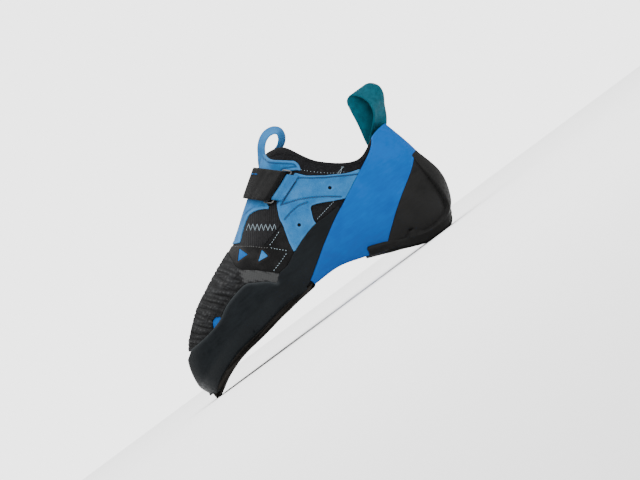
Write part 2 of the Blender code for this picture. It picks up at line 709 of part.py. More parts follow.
def build_upper(parts, material):
    """One wall, turned in under the foot, open at the collar and beneath."""
    faces = surface_faces(-1)
    keys = list(dict.fromkeys(key for face in faces for key in face))
    inner = {key: number for number, key in enumerate(keys)}
    points = [POINTS[key] - OUTWARD[key] * UPPER_WALL for key in keys]
    outer = {}
    for face in faces:
        for corner in raised(face):
            if corner not in outer:
                outer[corner] = len(points)
                points.append(POINTS[corner[0]] + OUTWARD[corner[0]] * corner[1])
    for key in keys:
        if key[2] == -1:
            edge = POINTS[key[0], key[1], 0]
            inward = POINTS[key] - edge
            reach = inward.normalized() * min(LASTING_MARGIN, inward.length)
            points[outer[key, 0.0]] = edge + reach
            points[inner[key]] = edge + reach + Vector((0.0, 0.0, UPPER_WALL))
    walls = [[outer[corner] for corner in raised(face)] for face in faces]
    walls += [[inner[key] for key in face[::-1]] for face in faces]
    for start, end in open_edges(faces):
        rim = [outer[corner] for corner in raised([end, start])]
        walls.append(rim + [inner[start], inner[end]])
    for side in (-1, 1):
        for column in range(THROAT_COLUMN, COLUMNS):
            low = [vertex_key(side, column + step, BINDING_ROW) for step in (0, 1)]
            corners = [(key, 0.0) for key in low] + [(key, binding(key)) for key in low[::-1]]
            step = list(dict.fromkeys(outer[corner] for corner in corners))
            if len(step) > 2:
                walls.append(step)
    add_object(parts, "upper", mesh_from("upper", points, walls), material)


def sole_edge(column, side, out):
    """A point of the feather line moved outwards in the floor's plane."""
    points = closed_level(FEATHER)
    around = side_place(PLACES[column], side, len(points))
    step = 0.05
    run = read_closed(points, around + step) - read_closed(points, around - step)
    outward = Vector((run.y, -run.x, 0.0)).normalized()
    if side > 0 and column not in (0, COLUMNS):
        outward = outward if outward.y > 0 else -outward
    if side < 0 and column not in (0, COLUMNS):
        outward = outward if outward.y < 0 else -outward
    if column == 0:
        outward = outward if outward.x < 0 else -outward
    if column == COLUMNS:
        outward = outward if outward.x > 0 else -outward
    return POINTS[vertex_key(side, column, 0)] + outward * out


def underside_height(x, side=-1):
    """Height of one side's feather line above the floor at a place along the shoe."""
    line = [POINTS[vertex_key(side, column, 0)] for column in range(COLUMNS + 1)]
    for front, rear in zip(line, line[1:]):
        if x <= rear.x:
            return blend(front.z, rear.z, (x - front.x) / (rear.x - front.x))
    return line[-1].z


def sheet_mesh(name, rows):
    """A slab from rows across the shoe; each row lists (top, bottom) from side to side."""
    points = []
    faces = []
    width = len(rows[0])
    for row in rows:
        points += [top for top, _ in row] + [bottom for _, bottom in row]
    stride = 2 * width
    for number in range(len(rows) - 1):
        base = number * stride
        for place in range(width - 1):
            top = base + place
            bottom = top + width
            faces.append([top, top + 1, top + 1 + stride, top + stride])
            faces.append([bottom, bottom + stride, bottom + 1 + stride, bottom + 1])
        last = base + width - 1
        faces.append([base, base + stride, base + stride + width, base + width])
        faces.append([last, last + width, last + width + stride, last + stride])
    for base in (0, (len(rows) - 1) * stride):
        faces.append([base + place for place in range(width)]
                     + [base + width + place for place in range(width - 1, -1, -1)])
    return mesh_from(name, points, faces)


def slab_rows(columns, out, top_shift, thickness, across=4):
    """Rows of a slab under or on the upper's underside, toe first."""
    rows = []
    for column in columns:
        outer = sole_edge(column, -1, out)
        inner = sole_edge(column, 1, out)
        if column == 0:
            beside = sole_edge(1, -1, out), sole_edge(1, 1, out)
            outer, inner = outer.lerp(beside[0], 0.25), inner.lerp(beside[1], 0.25)
            tip = sole_edge(0, -1, out)
            outer.x = inner.x = tip.x
        row = []
        for number in range(across + 1):
            top = outer.lerp(inner, number / across)
            top.z = top_shift + blend(underside_height(top.x, -1),
                                      underside_height(top.x, 1), number / across)
            bottom = top - Vector((0.0, 0.0, thickness(PLACES[column])))
            bottom.z = max(bottom.z, 0.0)
            row.append((top, bottom))
        rows.append(row)
    return rows


SOLE_LAST = PLACES.index(float(SECTIONS.index("instep")))


def build_outsole(parts, material):
    end = PLACES[SOLE_LAST]
    rows = slab_rows(range(SOLE_LAST + 1), SOLE_EDGE, -2 * GAP,
                     lambda place: SOLE * blend(1.0, 0.6, place - end + 1.0))
    add_object(parts, "outsole", sheet_mesh("outsole", rows), material)


def build_insole(parts, material):
    rows = slab_rows(range(COLUMNS), -INSOLE_INSET, UPPER_WALL + GAP + INSOLE,
                     lambda place: INSOLE)
    add_object(parts, "insole", sheet_mesh("insole", rows), material)


def tread_thickness(key):
    """Full under the heel, thinner towards the waist and up the back."""
    along = (POINTS[key].x + HEEL_REST) / LENGTH
    height = POINTS[key].z / INSTEP_HEIGHT
    front = blend(0.45, 1.0, (along - 0.64) / 0.10)
    back = blend(1.0, 0.55, (height - 0.08) / 0.30)
    return TREAD * min(front, back)


def tread_outline(rows, scale, lift):
    """Half widths mirrored to a closed outline; lift turns a place and a reach to a point."""
    steps = smooth_line([Vector((row.place, row.half, 0.0)) for row in rows], 2)
    one = [lift(step.x * scale, -step.y * TREAD_HALF_WIDTH) for step in steps]
    other = [lift(step.x * scale, step.y * TREAD_HALF_WIDTH) for step in reversed(steps)]
    return list(one + other)


def build_tread(parts, cutters, material):
    """Rubber strip from the waist under the heel and up its back, over cup and sling."""
    bed = SLING + 2 * GAP
    shape = shell_mesh("heel_tread", bed, bed, MIDDLE_ROW, tread_thickness)
    tread = add_object(parts, "heel_tread", shape, material)
    cut(tread, side_of(cutters, "tread_top", seam_line(TREAD_TOP), DOWN))
    plan = tread_outline(TREAD_PLAN[1:], LENGTH,
                         lambda place, reach: Vector((place - HEEL_REST, reach, 0.0)))
    tip = TREAD_PLAN[0]
    plan.append(Vector((tip.place * LENGTH - HEEL_REST, 0.0, 0.0)))
    cut(tread, prism(cutters, "tread_plan", plan, UP))
    back = tread_outline(TREAD_BACK, INSTEP_HEIGHT,
                         lambda place, reach: Vector((0.0, reach, place)))
    cut(tread, prism(cutters, "tread_back", back, HEELWARD))


def panel(parts, name, thickness, material, lowest=0, sides=(-1, 1)):
    """Shell of one thickness over the upper, for cutters to trim."""
    shape = shell_mesh(name, GAP, GAP + thickness, lowest, None, sides)
    return add_object(parts, name, shape, material)


def build_rubber(parts, cutters, rubber, sling_rubber):
    front = seam_line(SLING_FRONT, SEAM_HALF)
    rear = seam_line(SLING_REAR, -SEAM_HALF)
    sole_back = max(sole_edge(SOLE_LAST, side, SOLE_EDGE).x for side in (-1, 1)) + GAP
    over_sole = underside_height(sole_back) + GAP
    edge = [point for point in front if point.z > over_sole]
    edge += [Vector((sole_back, 0.0, over_sole)), Vector((sole_back, 0.0, -CUT_BELOW))]
    band = edge + [Vector((rear[-1].x, 0.0, -CUT_BELOW))] + rear[::-1]
    band.append(Vector((rear[0].x, 0.0, edge[0].z)))
    sling = panel(parts, "sling", SLING, sling_rubber, MIDDLE_ROW)
    cut(sling, prism(cutters, "sling_outline", band))

    cup = panel(parts, "heel_cup", CUP, rubber, MIDDLE_ROW)
    cut(cup, side_of(cutters, "behind_sling", seam_line(SLING_REAR, SEAM_HALF), HEELWARD))

    rand = panel(parts, "toe_rand", RAND, rubber)
    top = seam_line(RAND_TOP, SEAM_HALF, 1)
    cut(rand, side_of(cutters, "under_rand_top", top, DOWN))
    ahead = seam_line(SLING_FRONT, -SEAM_HALF)
    ahead.append(Vector((ahead[-1].x, 0.0, -CUT_BELOW)))
    cut(rand, side_of(cutters, "ahead_of_sling", ahead, TOEWARD))
    floor = feather_line(2 * GAP)
    cut(rand, side_of(cutters, "over_sole", floor, UP))


def build_panels(parts, cutters, facing, rubber, suede):
    above = (Stitch(RAND_TOP[-1].along, PATCH_REAR[0].height),)
    patch = panel(parts, "toe_patch", PATCH, rubber)
    corner = 7                # where the rand's edge turns up to the patch
    rows = PATCH_REAR + RAND_TOP[corner - 1:] + above
    cut(patch, prism(cutters, "patch_outline", outline(rows)))

    vamp = panel(parts, "vamp_panel", FACING, facing)
    rows = (PATCH_REAR + RAND_TOP[corner - 1:3:-1] + SIDE_FRONT[:1:-1] + VAMP_TOP[::-1])
    cut(vamp, prism(cutters, "vamp_outline", outline(rows)))
    for number, place in enumerate(CUT_OUTS):
        middle = side_point(place.along, place.height)
        corners = []
        for turn in range(3):
            angle = CUT_OUT_TURN + turn * math.tau / 3
            arm = CUT_OUT_SIZE / math.sqrt(3)
            corners.append(middle + Vector((math.cos(angle), 0.0, math.sin(angle))) * arm)
        cut(vamp, prism(cutters, f"cut_out_{number + 1}", corners), "DIFFERENCE")

    rows = SIDE_FRONT + RAND_TOP[4::-1] + SLING_FRONT[2:3] + SIDE_TOP[::-1]
    whole = prism(cutters, "side_outline", outline(rows))
    window = prism(cutters, "side_window", outline(SIDE_WINDOW, 0.0))
    for name, side in (("outer", -1), ("inner", 1)):
        half = panel(parts, f"side_panel_{name}", SUEDE, suede, 0, (side,))
        cut(half, whole)
        cut(half, window, "DIFFERENCE")

    tongue = panel(parts, "tongue_panel", SUEDE, suede)
    above = (Stitch(TONGUE_EDGE[0].along, TONGUE_EDGE[-1].height),)
    cut(tongue, prism(cutters, "tongue_outline", outline(TONGUE_EDGE + above)))


def build_strap(parts, strap_cloth, suede, steel):
    tree = last_tree()
    paths = [strap_path(tree, share * STRAP_WIDTH) for share in ACROSS]
    add_object(parts, "strap", ribbon_mesh("strap", paths, WEBBING), strap_cloth)
    span = STRAP_WIDTH - 2 * TAB_INSET
    paths = [tab_path(tree, TAB_INSET + share * span) for share in ACROSS]
    add_object(parts, "ring_tab", ribbon_mesh("ring_tab", paths, SUEDE), suede)

    wire = bpy.data.curves.new("strap_ring", "CURVE")
    wire.dimensions = "3D"
    wire.bevel_depth = RING_WIRE / 2
    wire.bevel_resolution = 2
    points = ring_points(tree)
    run = wire.splines.new("POLY")
    run.points.add(len(points) - 1)
    for point, place in zip(run.points, points):
        point.co = (*place, 1.0)
    run.use_cyclic_u = True
    wire.materials.append(steel)
    ring = bpy.data.objects.new("strap_ring", wire)
    parts.objects.link(ring)


def build_loops(parts, suede, webbing):
    paths = loop_paths(HEEL_LOOP_ROOT, HEEL_LOOP, HEEL_LOOP_WIDTH, 2)
    add_object(parts, "heel_pull_loop", ribbon_mesh("heel_pull_loop", paths, WEBBING),
               webbing)
    paths = loop_paths(FRONT_LOOP_ROOT, FRONT_LOOP, FRONT_LOOP_WIDTH, 2)
    add_object(parts, "front_pull_loop", ribbon_mesh("front_pull_loop", paths, SUEDE), suede)


build()
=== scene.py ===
# %% [markdown]
# This lesson dresses one left climbing shoe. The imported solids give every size; this script
# makes the pieces that the eye sees: rubber with rolled edges, suede, elastic, webbing, seams.
# The shoe is lasted, so all of its panels follow one smooth form, the last. The plan is to
# compute that form once, then cut each panel out of it along its seams and raise it by its
# own thickness. Sizes are in metres: toe at -X, heel at +X, outer side at -Y, floor at Z = 0.

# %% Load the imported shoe
import math

import bmesh
import bpy
import numpy as np
from mathutils import Matrix, Vector
from mathutils.bvhtree import BVHTree


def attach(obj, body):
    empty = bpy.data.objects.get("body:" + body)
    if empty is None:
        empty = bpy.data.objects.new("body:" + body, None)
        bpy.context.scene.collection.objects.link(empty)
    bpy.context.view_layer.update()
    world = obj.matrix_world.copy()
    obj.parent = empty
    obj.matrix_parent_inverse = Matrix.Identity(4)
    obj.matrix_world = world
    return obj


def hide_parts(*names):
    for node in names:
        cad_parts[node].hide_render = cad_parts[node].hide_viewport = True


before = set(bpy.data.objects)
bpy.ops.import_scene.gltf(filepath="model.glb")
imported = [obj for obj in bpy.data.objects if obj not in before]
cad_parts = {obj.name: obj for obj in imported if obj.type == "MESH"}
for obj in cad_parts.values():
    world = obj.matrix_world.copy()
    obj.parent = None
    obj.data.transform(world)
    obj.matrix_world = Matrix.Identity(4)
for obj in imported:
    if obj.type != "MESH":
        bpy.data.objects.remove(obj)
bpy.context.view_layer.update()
MM = 0.001

# %% [markdown]
# The last is a wooden or plastic foot. A modeller could sculpt it, but then the dressed shoe
# and its solids would drift apart. Here it is four level lines round the foot: the feather
# line where upper meets sole, the belly, the shoulder, and the ridge that runs into the
# collar. Each row is one cross-section: place along the shoe as a share of its length, height
# as a share of the instep's height (of the arch's rise for the feather line), and the reach
# to the outer and inner side as shares of the ball's width.

# %% Sizes and level lines of the last
LENGTH, BALL_WIDTH, INSTEP_HEIGHT = 0.250, 0.086, 0.134
HEEL_HEIGHT, ARCH_RISE, HEEL_REST = 0.096, 0.024, 0.225
UPPER_WALL, SUEDE, FACING, PATCH = 1.6 * MM, 1.2 * MM, 0.9 * MM, 1.6 * MM
RAND, SLING, CUP, SOLE, TREAD = 1.8 * MM, 2.2 * MM, 2.0 * MM, 5.6 * MM, 3.8 * MM
WEBBING, GAP, TUCK, INSOLE = 1.4 * MM, 0.3 * MM, 14 * MM, 1.6 * MM
FRONT_LIFT, REAR_LIFT = 5.4 * MM, 5.8 * MM
THROAT = 7
FEATHER = ((.012, 0, -.163, .163), (.034, .03, .047, .326), (.088, .36, .244, .407),
    (.168, .65, .384, .459), (.264, .8, .448, .465), (.368, .97, .442, .407),
    (.484, 1, .366, .296), (.58, .99, .302, .244), (.672, .71, .262, .238), (.768, .39, .246, .24),
    (.864, .01, .238, .238), (.932, 0, .167, .167), (.964, .17, 0, 0))
BELLY = ((0, .127, -.163, .163), (.022, .142, .105, .36), (.08, .194, .291, .436),
    (.16, .254, .43, .494), (.256, .299, .488, .512), (.36, .328, .488, .465),
    (.468, .351, .436, .395), (.58, .358, .378, .349), (.68, .328, .343, .337),
    (.78, .276, .343, .343), (.876, .231, .33, .33), (.958, .231, .216, .216), (.998, .275, 0, 0))
SHOULDER = ((.014, .254, -.15, .15), (.04, .284, .047, .314), (.096, .358, .198, .36),
    (.172, .44, .314, .384), (.26, .515, .36, .372), (.36, .575, .36, .337),
    (.468, .642, .331, .308), (.584, .694, .314, .291), (.672, .672, .32, .314),
    (.752, .567, .32, .32), (.852, .507, .302, .302), (.944, .507, .209, .209), (.986, .507, 0, 0))
TOP = ((.052, .369, -.14, .14), (.076, .414, -.134, .134), (.12, .478, -.11, .11),
    (.184, .542, -.081, .081), (.264, .612, -.058, .058), (.356, .687, -.035, .035),
    (.456, .818, -.012, .012), (.6, .998, 0, 0), (.66, .966, .221, .221), (.724, .776, .291, .291),
    (.824, .646, .308, .308), (.916, .705, .209, .209), (.96, .716, 0, 0))
print("last:", len(FEATHER), "sections,", LENGTH, "long")

# %% [markdown]
# A curve that passes through all of its points is what a pattern maker draws round pins. The
# Catmull-Rom curve does just that with four neighbouring points, and numpy evaluates it for
# thousands of places at once.

# %% Curves through points
def catmull(before, start, end, after, share):
    return 0.5 * (2 * start + (end - before) * share
                  + (2 * before - 5 * start + 4 * end - after) * share ** 2
                  + (3 * start - before - 3 * end + after) * share ** 3)


def read_line(points, place):
    """Open curve; place runs from 0 to len(points) - 1."""
    points = np.asarray(points, float)
    ends = np.vstack([2 * points[:1] - points[1:2], points, 2 * points[-1:] - points[-2:-1]])
    place = np.clip(np.asarray(place, float), 0, len(points) - 1)
    index = np.minimum(np.floor(place).astype(int), len(points) - 2)
    around = [ends[index + step] for step in range(4)]
    return catmull(*around, (place - index)[..., None])


def read_loop(points, place):
    """Closed curve through the points, which wraps round."""
    index = np.floor(place).astype(int)
    around = [points[(index + step) % len(points)] for step in (-1, 0, 1, 2)]
    return catmull(*around, (place - index)[..., None])


def unit(value):
    return np.clip(value, 0.0, 1.0)


def blend(low, high, share):
    return low + (high - low) * unit(share)


def hump(distance, width, power=2):
    """1 on a line, and next to nothing two widths away from it."""
    return np.exp(-(distance / width) ** power)


def side_view(rows):
    """Shares of length and height to x and z in the side view."""
    rows = np.asarray(rows, float)
    whole = HEEL_HEIGHT / (TOP[-1][1] * INSTEP_HEIGHT)
    stretch = blend(1.0, whole, (rows[:, 0] - 0.6) / 0.2)
    return np.stack([rows[:, 0] * LENGTH - HEEL_REST,
                     rows[:, 1] * INSTEP_HEIGHT * stretch], axis=1)


def level_points(level, side):
    rows = np.asarray(level, float)
    flat = side_view(rows)
    reach = rows[:, 2] if side < 0 else rows[:, 3]
    height = flat[:, 1]
    if level is FEATHER:
        height = blend(FRONT_LIFT, REAR_LIFT, (rows[:, 0] - 0.4) / 0.4) + rows[:, 1] * ARCH_RISE
    return np.stack([flat[:, 0], side * reach * BALL_WIDTH, height], axis=1)


def level_loop(level, first=0):
    outer, inner = level_points(level, -1), level_points(level, 1)
    return np.vstack([outer[first:], inner[first + 1:-1][::-1]])


def on_level(level, place, side, first=0, ahead=0.0):
    """Points of a level line at places counted from the toe, or from section first."""
    loop = level_loop(level, first)
    around = place if side < 0 else (len(loop) - place) % len(loop)
    return read_loop(loop, around + ahead)


def feather_inward(place, side):
    """Level directions from the feather line towards the middle of the sole."""
    reach = 0.05
    run = on_level(FEATHER, place, side, 0, reach) - on_level(FEATHER, place, side, 0, -reach)
    inward = np.stack([-run[:, 1], run[:, 0], 0 * place], axis=1)
    return inward / np.linalg.norm(inward, axis=1)[:, None]


print("shoulder line:", len(level_loop(SHOULDER)), "points round the foot")

# %% [markdown]
# The four lines are joined by upright curves. Where the foot is closed over, front of the
# throat, each upright carries on over the ridge to the other side, so the top stays round.
# The form is kept as a fine grid of points with their outward directions, so any place on it
# can be read by two numbers: s round the foot from toe (0) to heel (12), and t up the side,
# from the middle of the underside (-1) by the feather line (0) to ridge or collar (3).

# %% The last as a fine grid
STEP = 24
S_PLACES = np.arange(12 * STEP + 1) / STEP
T_PLACES = np.arange(3 * STEP + 1) / STEP


def top_line(place, side):
    ridge = read_line(level_points(TOP, -1)[:THROAT + 1], np.minimum(place, THROAT))
    around = on_level(TOP, np.maximum(place - THROAT, 0.0), side, THROAT)
    return np.where((place <= THROAT)[:, None], ridge, around)


def last_side(side):
    place = S_PLACES
    levels = [on_level(level, place, side) for level in (FEATHER, BELLY, SHOULDER)]
    top = top_line(place, side)
    across = on_level(SHOULDER, place, -side)
    upright = top + (top - levels[2]) * 0.5
    beyond = across + (upright - across) * unit(place - THROAT)[:, None]
    toe = top_line(np.array([1.6]), side)
    beyond = toe + (beyond - toe) * unit(place)[:, None]
    controls = [levels[0] - feather_inward(place, side) * TUCK] + levels + [top, beyond]
    columns = []
    for rise in T_PLACES:
        index = min(int(rise), 2)
        columns.append(catmull(*controls[index:index + 4], rise - index))
    return np.stack(columns, axis=1)


def whole_last():
    sides = [last_side(-1), last_side(1)]
    sides[1][[0, -1]] = sides[0][[0, -1]]
    sides[1][:THROAT * STEP + 1, -1] = sides[0][:THROAT * STEP + 1, -1]
    grid = []
    middle = (sides[0][:, :1] + sides[1][:, :1]) / 2
    share = (np.arange(STEP) / STEP)[None, :, None]
    for side in sides:
        grid.append(np.concatenate([middle + (side[:, :1] - middle) * share, side], axis=1))
    return np.stack(grid)


LAST = whole_last()


def outward_of(grid):
    """Directions out of the form, averaged over the faces that meet at each point."""
    flat = np.round(grid.reshape(-1, 3), 6)
    _, shared = np.unique(flat, axis=0, return_inverse=True)
    shared = shared.reshape(grid.shape[:3])
    total = np.zeros((shared.max() + 1, 3))
    for number, sign in ((0, 1.0), (1, -1.0)):
        p, key = grid[number], shared[number]
        face = np.cross(p[1:, 1:] - p[:-1, :-1], p[:-1, 1:] - p[1:, :-1]) * sign
        for corner in (key[1:, 1:], key[:-1, :-1], key[:-1, 1:], key[1:, :-1]):
            np.add.at(total, corner.ravel(), face.reshape(-1, 3))
    total /= np.maximum(np.linalg.norm(total, axis=1), 1e-12)[:, None]
    return total[shared]


OUTWARD = outward_of(LAST)


def read_grid(grid, side, s, t):
    """A grid's value at places (s, t) of one side, between its points."""
    table = grid[0 if side < 0 else 1]
    along = np.clip(np.asarray(s, float), 0, 12) * STEP
    up = (np.clip(np.asarray(t, float), -1, 3) + 1) * STEP
    i = np.minimum(along.astype(int), table.shape[0] - 2)
    j = np.minimum(up.astype(int), table.shape[1] - 2)
    a, b = (along - i)[..., None], (up - j)[..., None]
    low = table[i, j] * (1 - a) + table[i + 1, j] * a
    high = table[i, j + 1] * (1 - a) + table[i + 1, j + 1] * a
    return low * (1 - b) + high * b


def on_last(side, s, t, height):
    return read_grid(LAST, side, s, t) + read_grid(OUTWARD, side, s, t) * height


print("last grid:", LAST.shape, "top of instep:", round(float(LAST[..., 2].max()), 4))

# %% [markdown]
# Every panel is drawn the way a pattern is cut: a closed outline, here in the side view, since
# that is how the shoe's seams are best measured. Each seam is a smooth line of its own, so
# neighbours share it and corners between two seams stay sharp. The signed distance to such an
# outline, negative inside, then tells for any place of the last whether leather covers it.

# %% Seams as shares of length and height
SLING_FRONT = ((.93, .8), (.888, .664), (.804, .575), (.716, .493), (.648, .433), (.532, .306),
    (.484, .25), (.44, .2))
SLING_REAR = ((1.08, .58), (.996, .493), (.94, .403), (.872, .321), (.808, .239), (.752, .157),
    (.712, .06), (.7, 0))
RAND_TOP = ((.716, .493), (.644, .486), (.592, .485), (.544, .463), (.49, .425), (.45, .388),
    (.414, .378), (.389, .34), (.37, .378), (.34, .413), (.308, .443), (.259, .43), (.217, .405),
    (.177, .364), (.134, .34), (.082, .325), (.014, .316), (-.06, .316))
PATCH_REAR = ((.318, .72), (.322, .66), (.32, .606), (.321, .537), (.362, .47), (.4, .402))
VAMP_TOP = ((.326, .72), (.33, .692), (.37, .643), (.408, .583), (.435, .561), (.491, .584))
SIDE_FRONT = ((.54, .724), (.518, .64), (.513, .592), (.507, .557), (.496, .49))
SIDE_TOP = ((.644, .8), (.66, .762), (.676, .728), (.732, .658), (.776, .616), (.818, .59))
SIDE_WINDOW = ((.735, .48), (.684, .536), (.655, .565), (.63, .584), (.619, .583), (.611, .559),
    (.602, .488), (.65, .44))
TONGUE_EDGE = ((.28, .76), (.333, .696), (.372, .658), (.401, .704), (.433, .746), (.452, .76),
    (.475, .755), (.494, .739), (.512, .716), (.516, .766), (.619, .843), (.65, .812), (.662, .79),
    (.668, .824), (.665, .856), (.65, .882), (.613, .941), (.604, .972), (.603, 1.004), (.59, 1.1))
TREAD_TOP = ((.6, .194), (.655, .193), (.676, .199), (.701, .19), (.742, .151), (.786, .109),
    (.831, .081), (.88, .062), (.925, .068), (.952, .105), (.966, .2), (.968, .3), (.966, .38),
    (.955, .462), (1.04, .5))
TREAD_PLAN = ((.641, 0), (.644, .35), (.652, .6), (.668, .9), (.692, 1.2), (.74, 1.7), (1.1, 1.9))
TREAD_BACK = ((-.1, 2.0), (.085, 1.8), (.14, 1.6), (.25, .95), (.4, .7), (.6, .56))


def seam(rows, first=0, last=None, steps=8):
    """Smooth line of the side view through some rows of a seam table."""
    flat = side_view(rows[first:last])
    return read_line(flat, np.arange((len(flat) - 1) * steps + 1) / steps)


def pattern(*seams):
    """One closed outline from seams in order, without doubled points."""
    line = np.vstack(seams)
    step = np.linalg.norm(line - np.roll(line, 1, axis=0), axis=1)
    return line[step > 0.05 * MM]


def distance_to(outline, x, z):
    """Signed distance of places in the side view to a closed outline."""
    ends = np.roll(outline, -1, axis=0)
    nearest = np.full(x.shape, 1e9)
    inside = np.zeros(x.shape, bool)
    for (ax, az), (bx, bz) in zip(outline, ends):
        dx, dz = bx - ax, bz - az
        along = unit(((x - ax) * dx + (z - az) * dz) / (dx * dx + dz * dz + 1e-18))
        nearest = np.minimum(nearest, np.hypot(x - ax - along * dx, z - az - along * dz))
        crosses = (az > z) != (bz > z)
        inside ^= crosses & (x < ax + dx * (z - az) / (dz if abs(dz) > 1e-12 else 1e-12))
    return np.where(inside, -nearest, nearest)


def near(line, base):
    """Distance of places to an open line of the side view."""
    doubled = np.vstack([line, line[-2:0:-1]])
    return np.abs(distance_to(doubled, base[..., 0], base[..., 2]))


TOE_END = 225  # x = 0 lies so many millimetres behind the toe


def measured(points):
    """Points measured in the picture, in millimetres from toe and floor, to x and z."""
    return np.array(points, float) * MM - [HEEL_REST, 0]


def within(outline, inset=0.45 * MM):
    """Field of a panel that keeps a little inside its outline, room for its rolled edge."""
    return lambda p, side: distance_to(outline, p[..., 0], p[..., 2]) + inset


print("rand seam:", len(seam(RAND_TOP)), "points")

# %% [markdown]
# Cutting a panel: a fine grid is laid on the last, the points next to the outline slide onto
# it along the grid's own lines, and the faces outside go. A Boolean would also cut it, but it
# leaves slivers that catch the light; sliding keeps clean faces right up to the edge.

# %% Cut a grid to a field
TINY = 1e-6


def unit_grid(columns, rows):
    """A flat grid, and the places of its points from 0 to 1 both ways."""
    shape = bmesh.new()
    bmesh.ops.create_grid(shape, x_segments=columns, y_segments=rows, size=0.5)
    return shape, places_of(shape) + 0.5


def places_of(shape):
    return np.array([vertex.co[:2] for vertex in shape.verts]).reshape(-1, 2)


def move_to(shape, points):
    for vertex, point in zip(shape.verts, points):
        vertex.co = point


def fine_grid(counts, s_range, t_range):
    shape, share = unit_grid(*counts)
    low, high = np.array([s_range, t_range], float).T
    move_to(shape, np.pad(low + share * (high - low), ((0, 0), (0, 1))))
    return shape


def rims_of(shape):
    return [edge for edge in shape.edges if edge.is_boundary]


def close_up(shape):
    """Fills what is open, and turns every face outwards."""
    rims = rims_of(shape)
    if rims:
        bmesh.ops.holes_fill(shape, edges=rims, sides=0)
    bmesh.ops.recalc_face_normals(shape, faces=shape.faces)


def drop_loose(shape):
    loose = [vertex for vertex in shape.verts if not vertex.link_faces]
    bmesh.ops.delete(shape, geom=loose, context="VERTS")


def cut_grid(shape, side, field):
    """Slides the points nearest the outline onto it and deletes what lies outside."""
    shape.verts.ensure_lookup_table()
    place = places_of(shape)

    def measure(place):
        return field(read_grid(LAST, side, place[:, 0], place[:, 1]), side)

    value = measure(place)
    edges = np.array([[vertex.index for vertex in edge.verts] for edge in shape.edges])
    crossing = edges[value[edges[:, 0]] * value[edges[:, 1]] < 0]
    ends = np.minimum(np.abs(place[:, 0]), np.abs(place[:, 0] - 12)) < TINY
    ridge = (np.abs(place[:, 1] - 3) < TINY) & (place[:, 0] <= THROAT + TINY)
    shared = ends | ridge | (np.abs(place[:, 1] + 1) < TINY)
    moves = []
    for a, b in crossing:
        share = value[a] / (value[a] - value[b])
        for one, other, part in ((a, b, share), (b, a, 1 - share)):
            if shared[one] and not shared[other]:
                continue
            moves.append((not (shared[one] and shared[other]), part, one, other))
    done = set()
    chosen = []
    for _, part, one, other in sorted(moves):
        if one not in done and other not in done:
            done.add(one)
            chosen.append((one, other, part))
    if chosen:
        one = np.array([move[0] for move in chosen])
        other = np.array([move[1] for move in chosen])
        low, high = np.zeros(len(chosen)), np.ones(len(chosen))
        start = np.sign(value[one])
        for _ in range(12):
            part = (low + high) / 2
            same = measure(place[one] + (place[other] - place[one]) * part[:, None]) * start > 0
            low, high = np.where(same, part, low), np.where(same, high, part)
        place[one] = place[one] + (place[other] - place[one]) * ((low + high) / 2)[:, None]
        value[one] = 0.0
    move_to(shape, np.pad(place, ((0, 0), (0, 1))))
    splits = []
    for face in shape.faces:
        kinds = [int(np.sign(value[vertex.index])) for vertex in face.verts]
        if 1 in kinds and len(kinds) == 4 and kinds.count(1) == 1:
            spot = kinds.index(1)
            beside = (face.verts[spot - 1], face.verts[(spot + 1) % 4])
            if all(value[vertex.index] == 0 for vertex in beside):
                splits.append((face, beside))
    for face, beside in splits:
        bmesh.utils.face_split(face, *beside)
    shape.faces.ensure_lookup_table()
    centres = np.array([face.calc_center_median()[:2] for face in shape.faces])
    middle_value = measure(centres)
    extra = []
    for face, inside in zip(shape.faces, middle_value):
        kinds = [value[vertex.index] for vertex in face.verts]
        if max(kinds) > 0 or (max(kinds) == 0 and min(kinds) == 0 and inside > 0):
            extra.append(face)
    bmesh.ops.delete(shape, geom=extra, context="FACES")
    drop_loose(shape)


def finish_mesh(name, shape, material):
    mesh = bpy.data.meshes.new(name)
    shape.to_mesh(mesh)
    shape.free()
    thing = bpy.data.objects.new(name, mesh)
    bpy.context.scene.collection.objects.link(thing)
    mesh.materials.append(material)
    for polygon in mesh.polygons:
        polygon.use_smooth = True
    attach(thing, "root")
    return thing


# %% [markdown]
# The cut sheet is mapped onto the last at its thickness, both sides are sewn together where
# they meet, and the open edges are rolled: each edge is extruded outwards and down along a
# quarter circle, as trimmed rubber or folded suede shows. A bevel would need a solid with an
# even wall first; extruding the edge gives the same roundness with fewer faces.

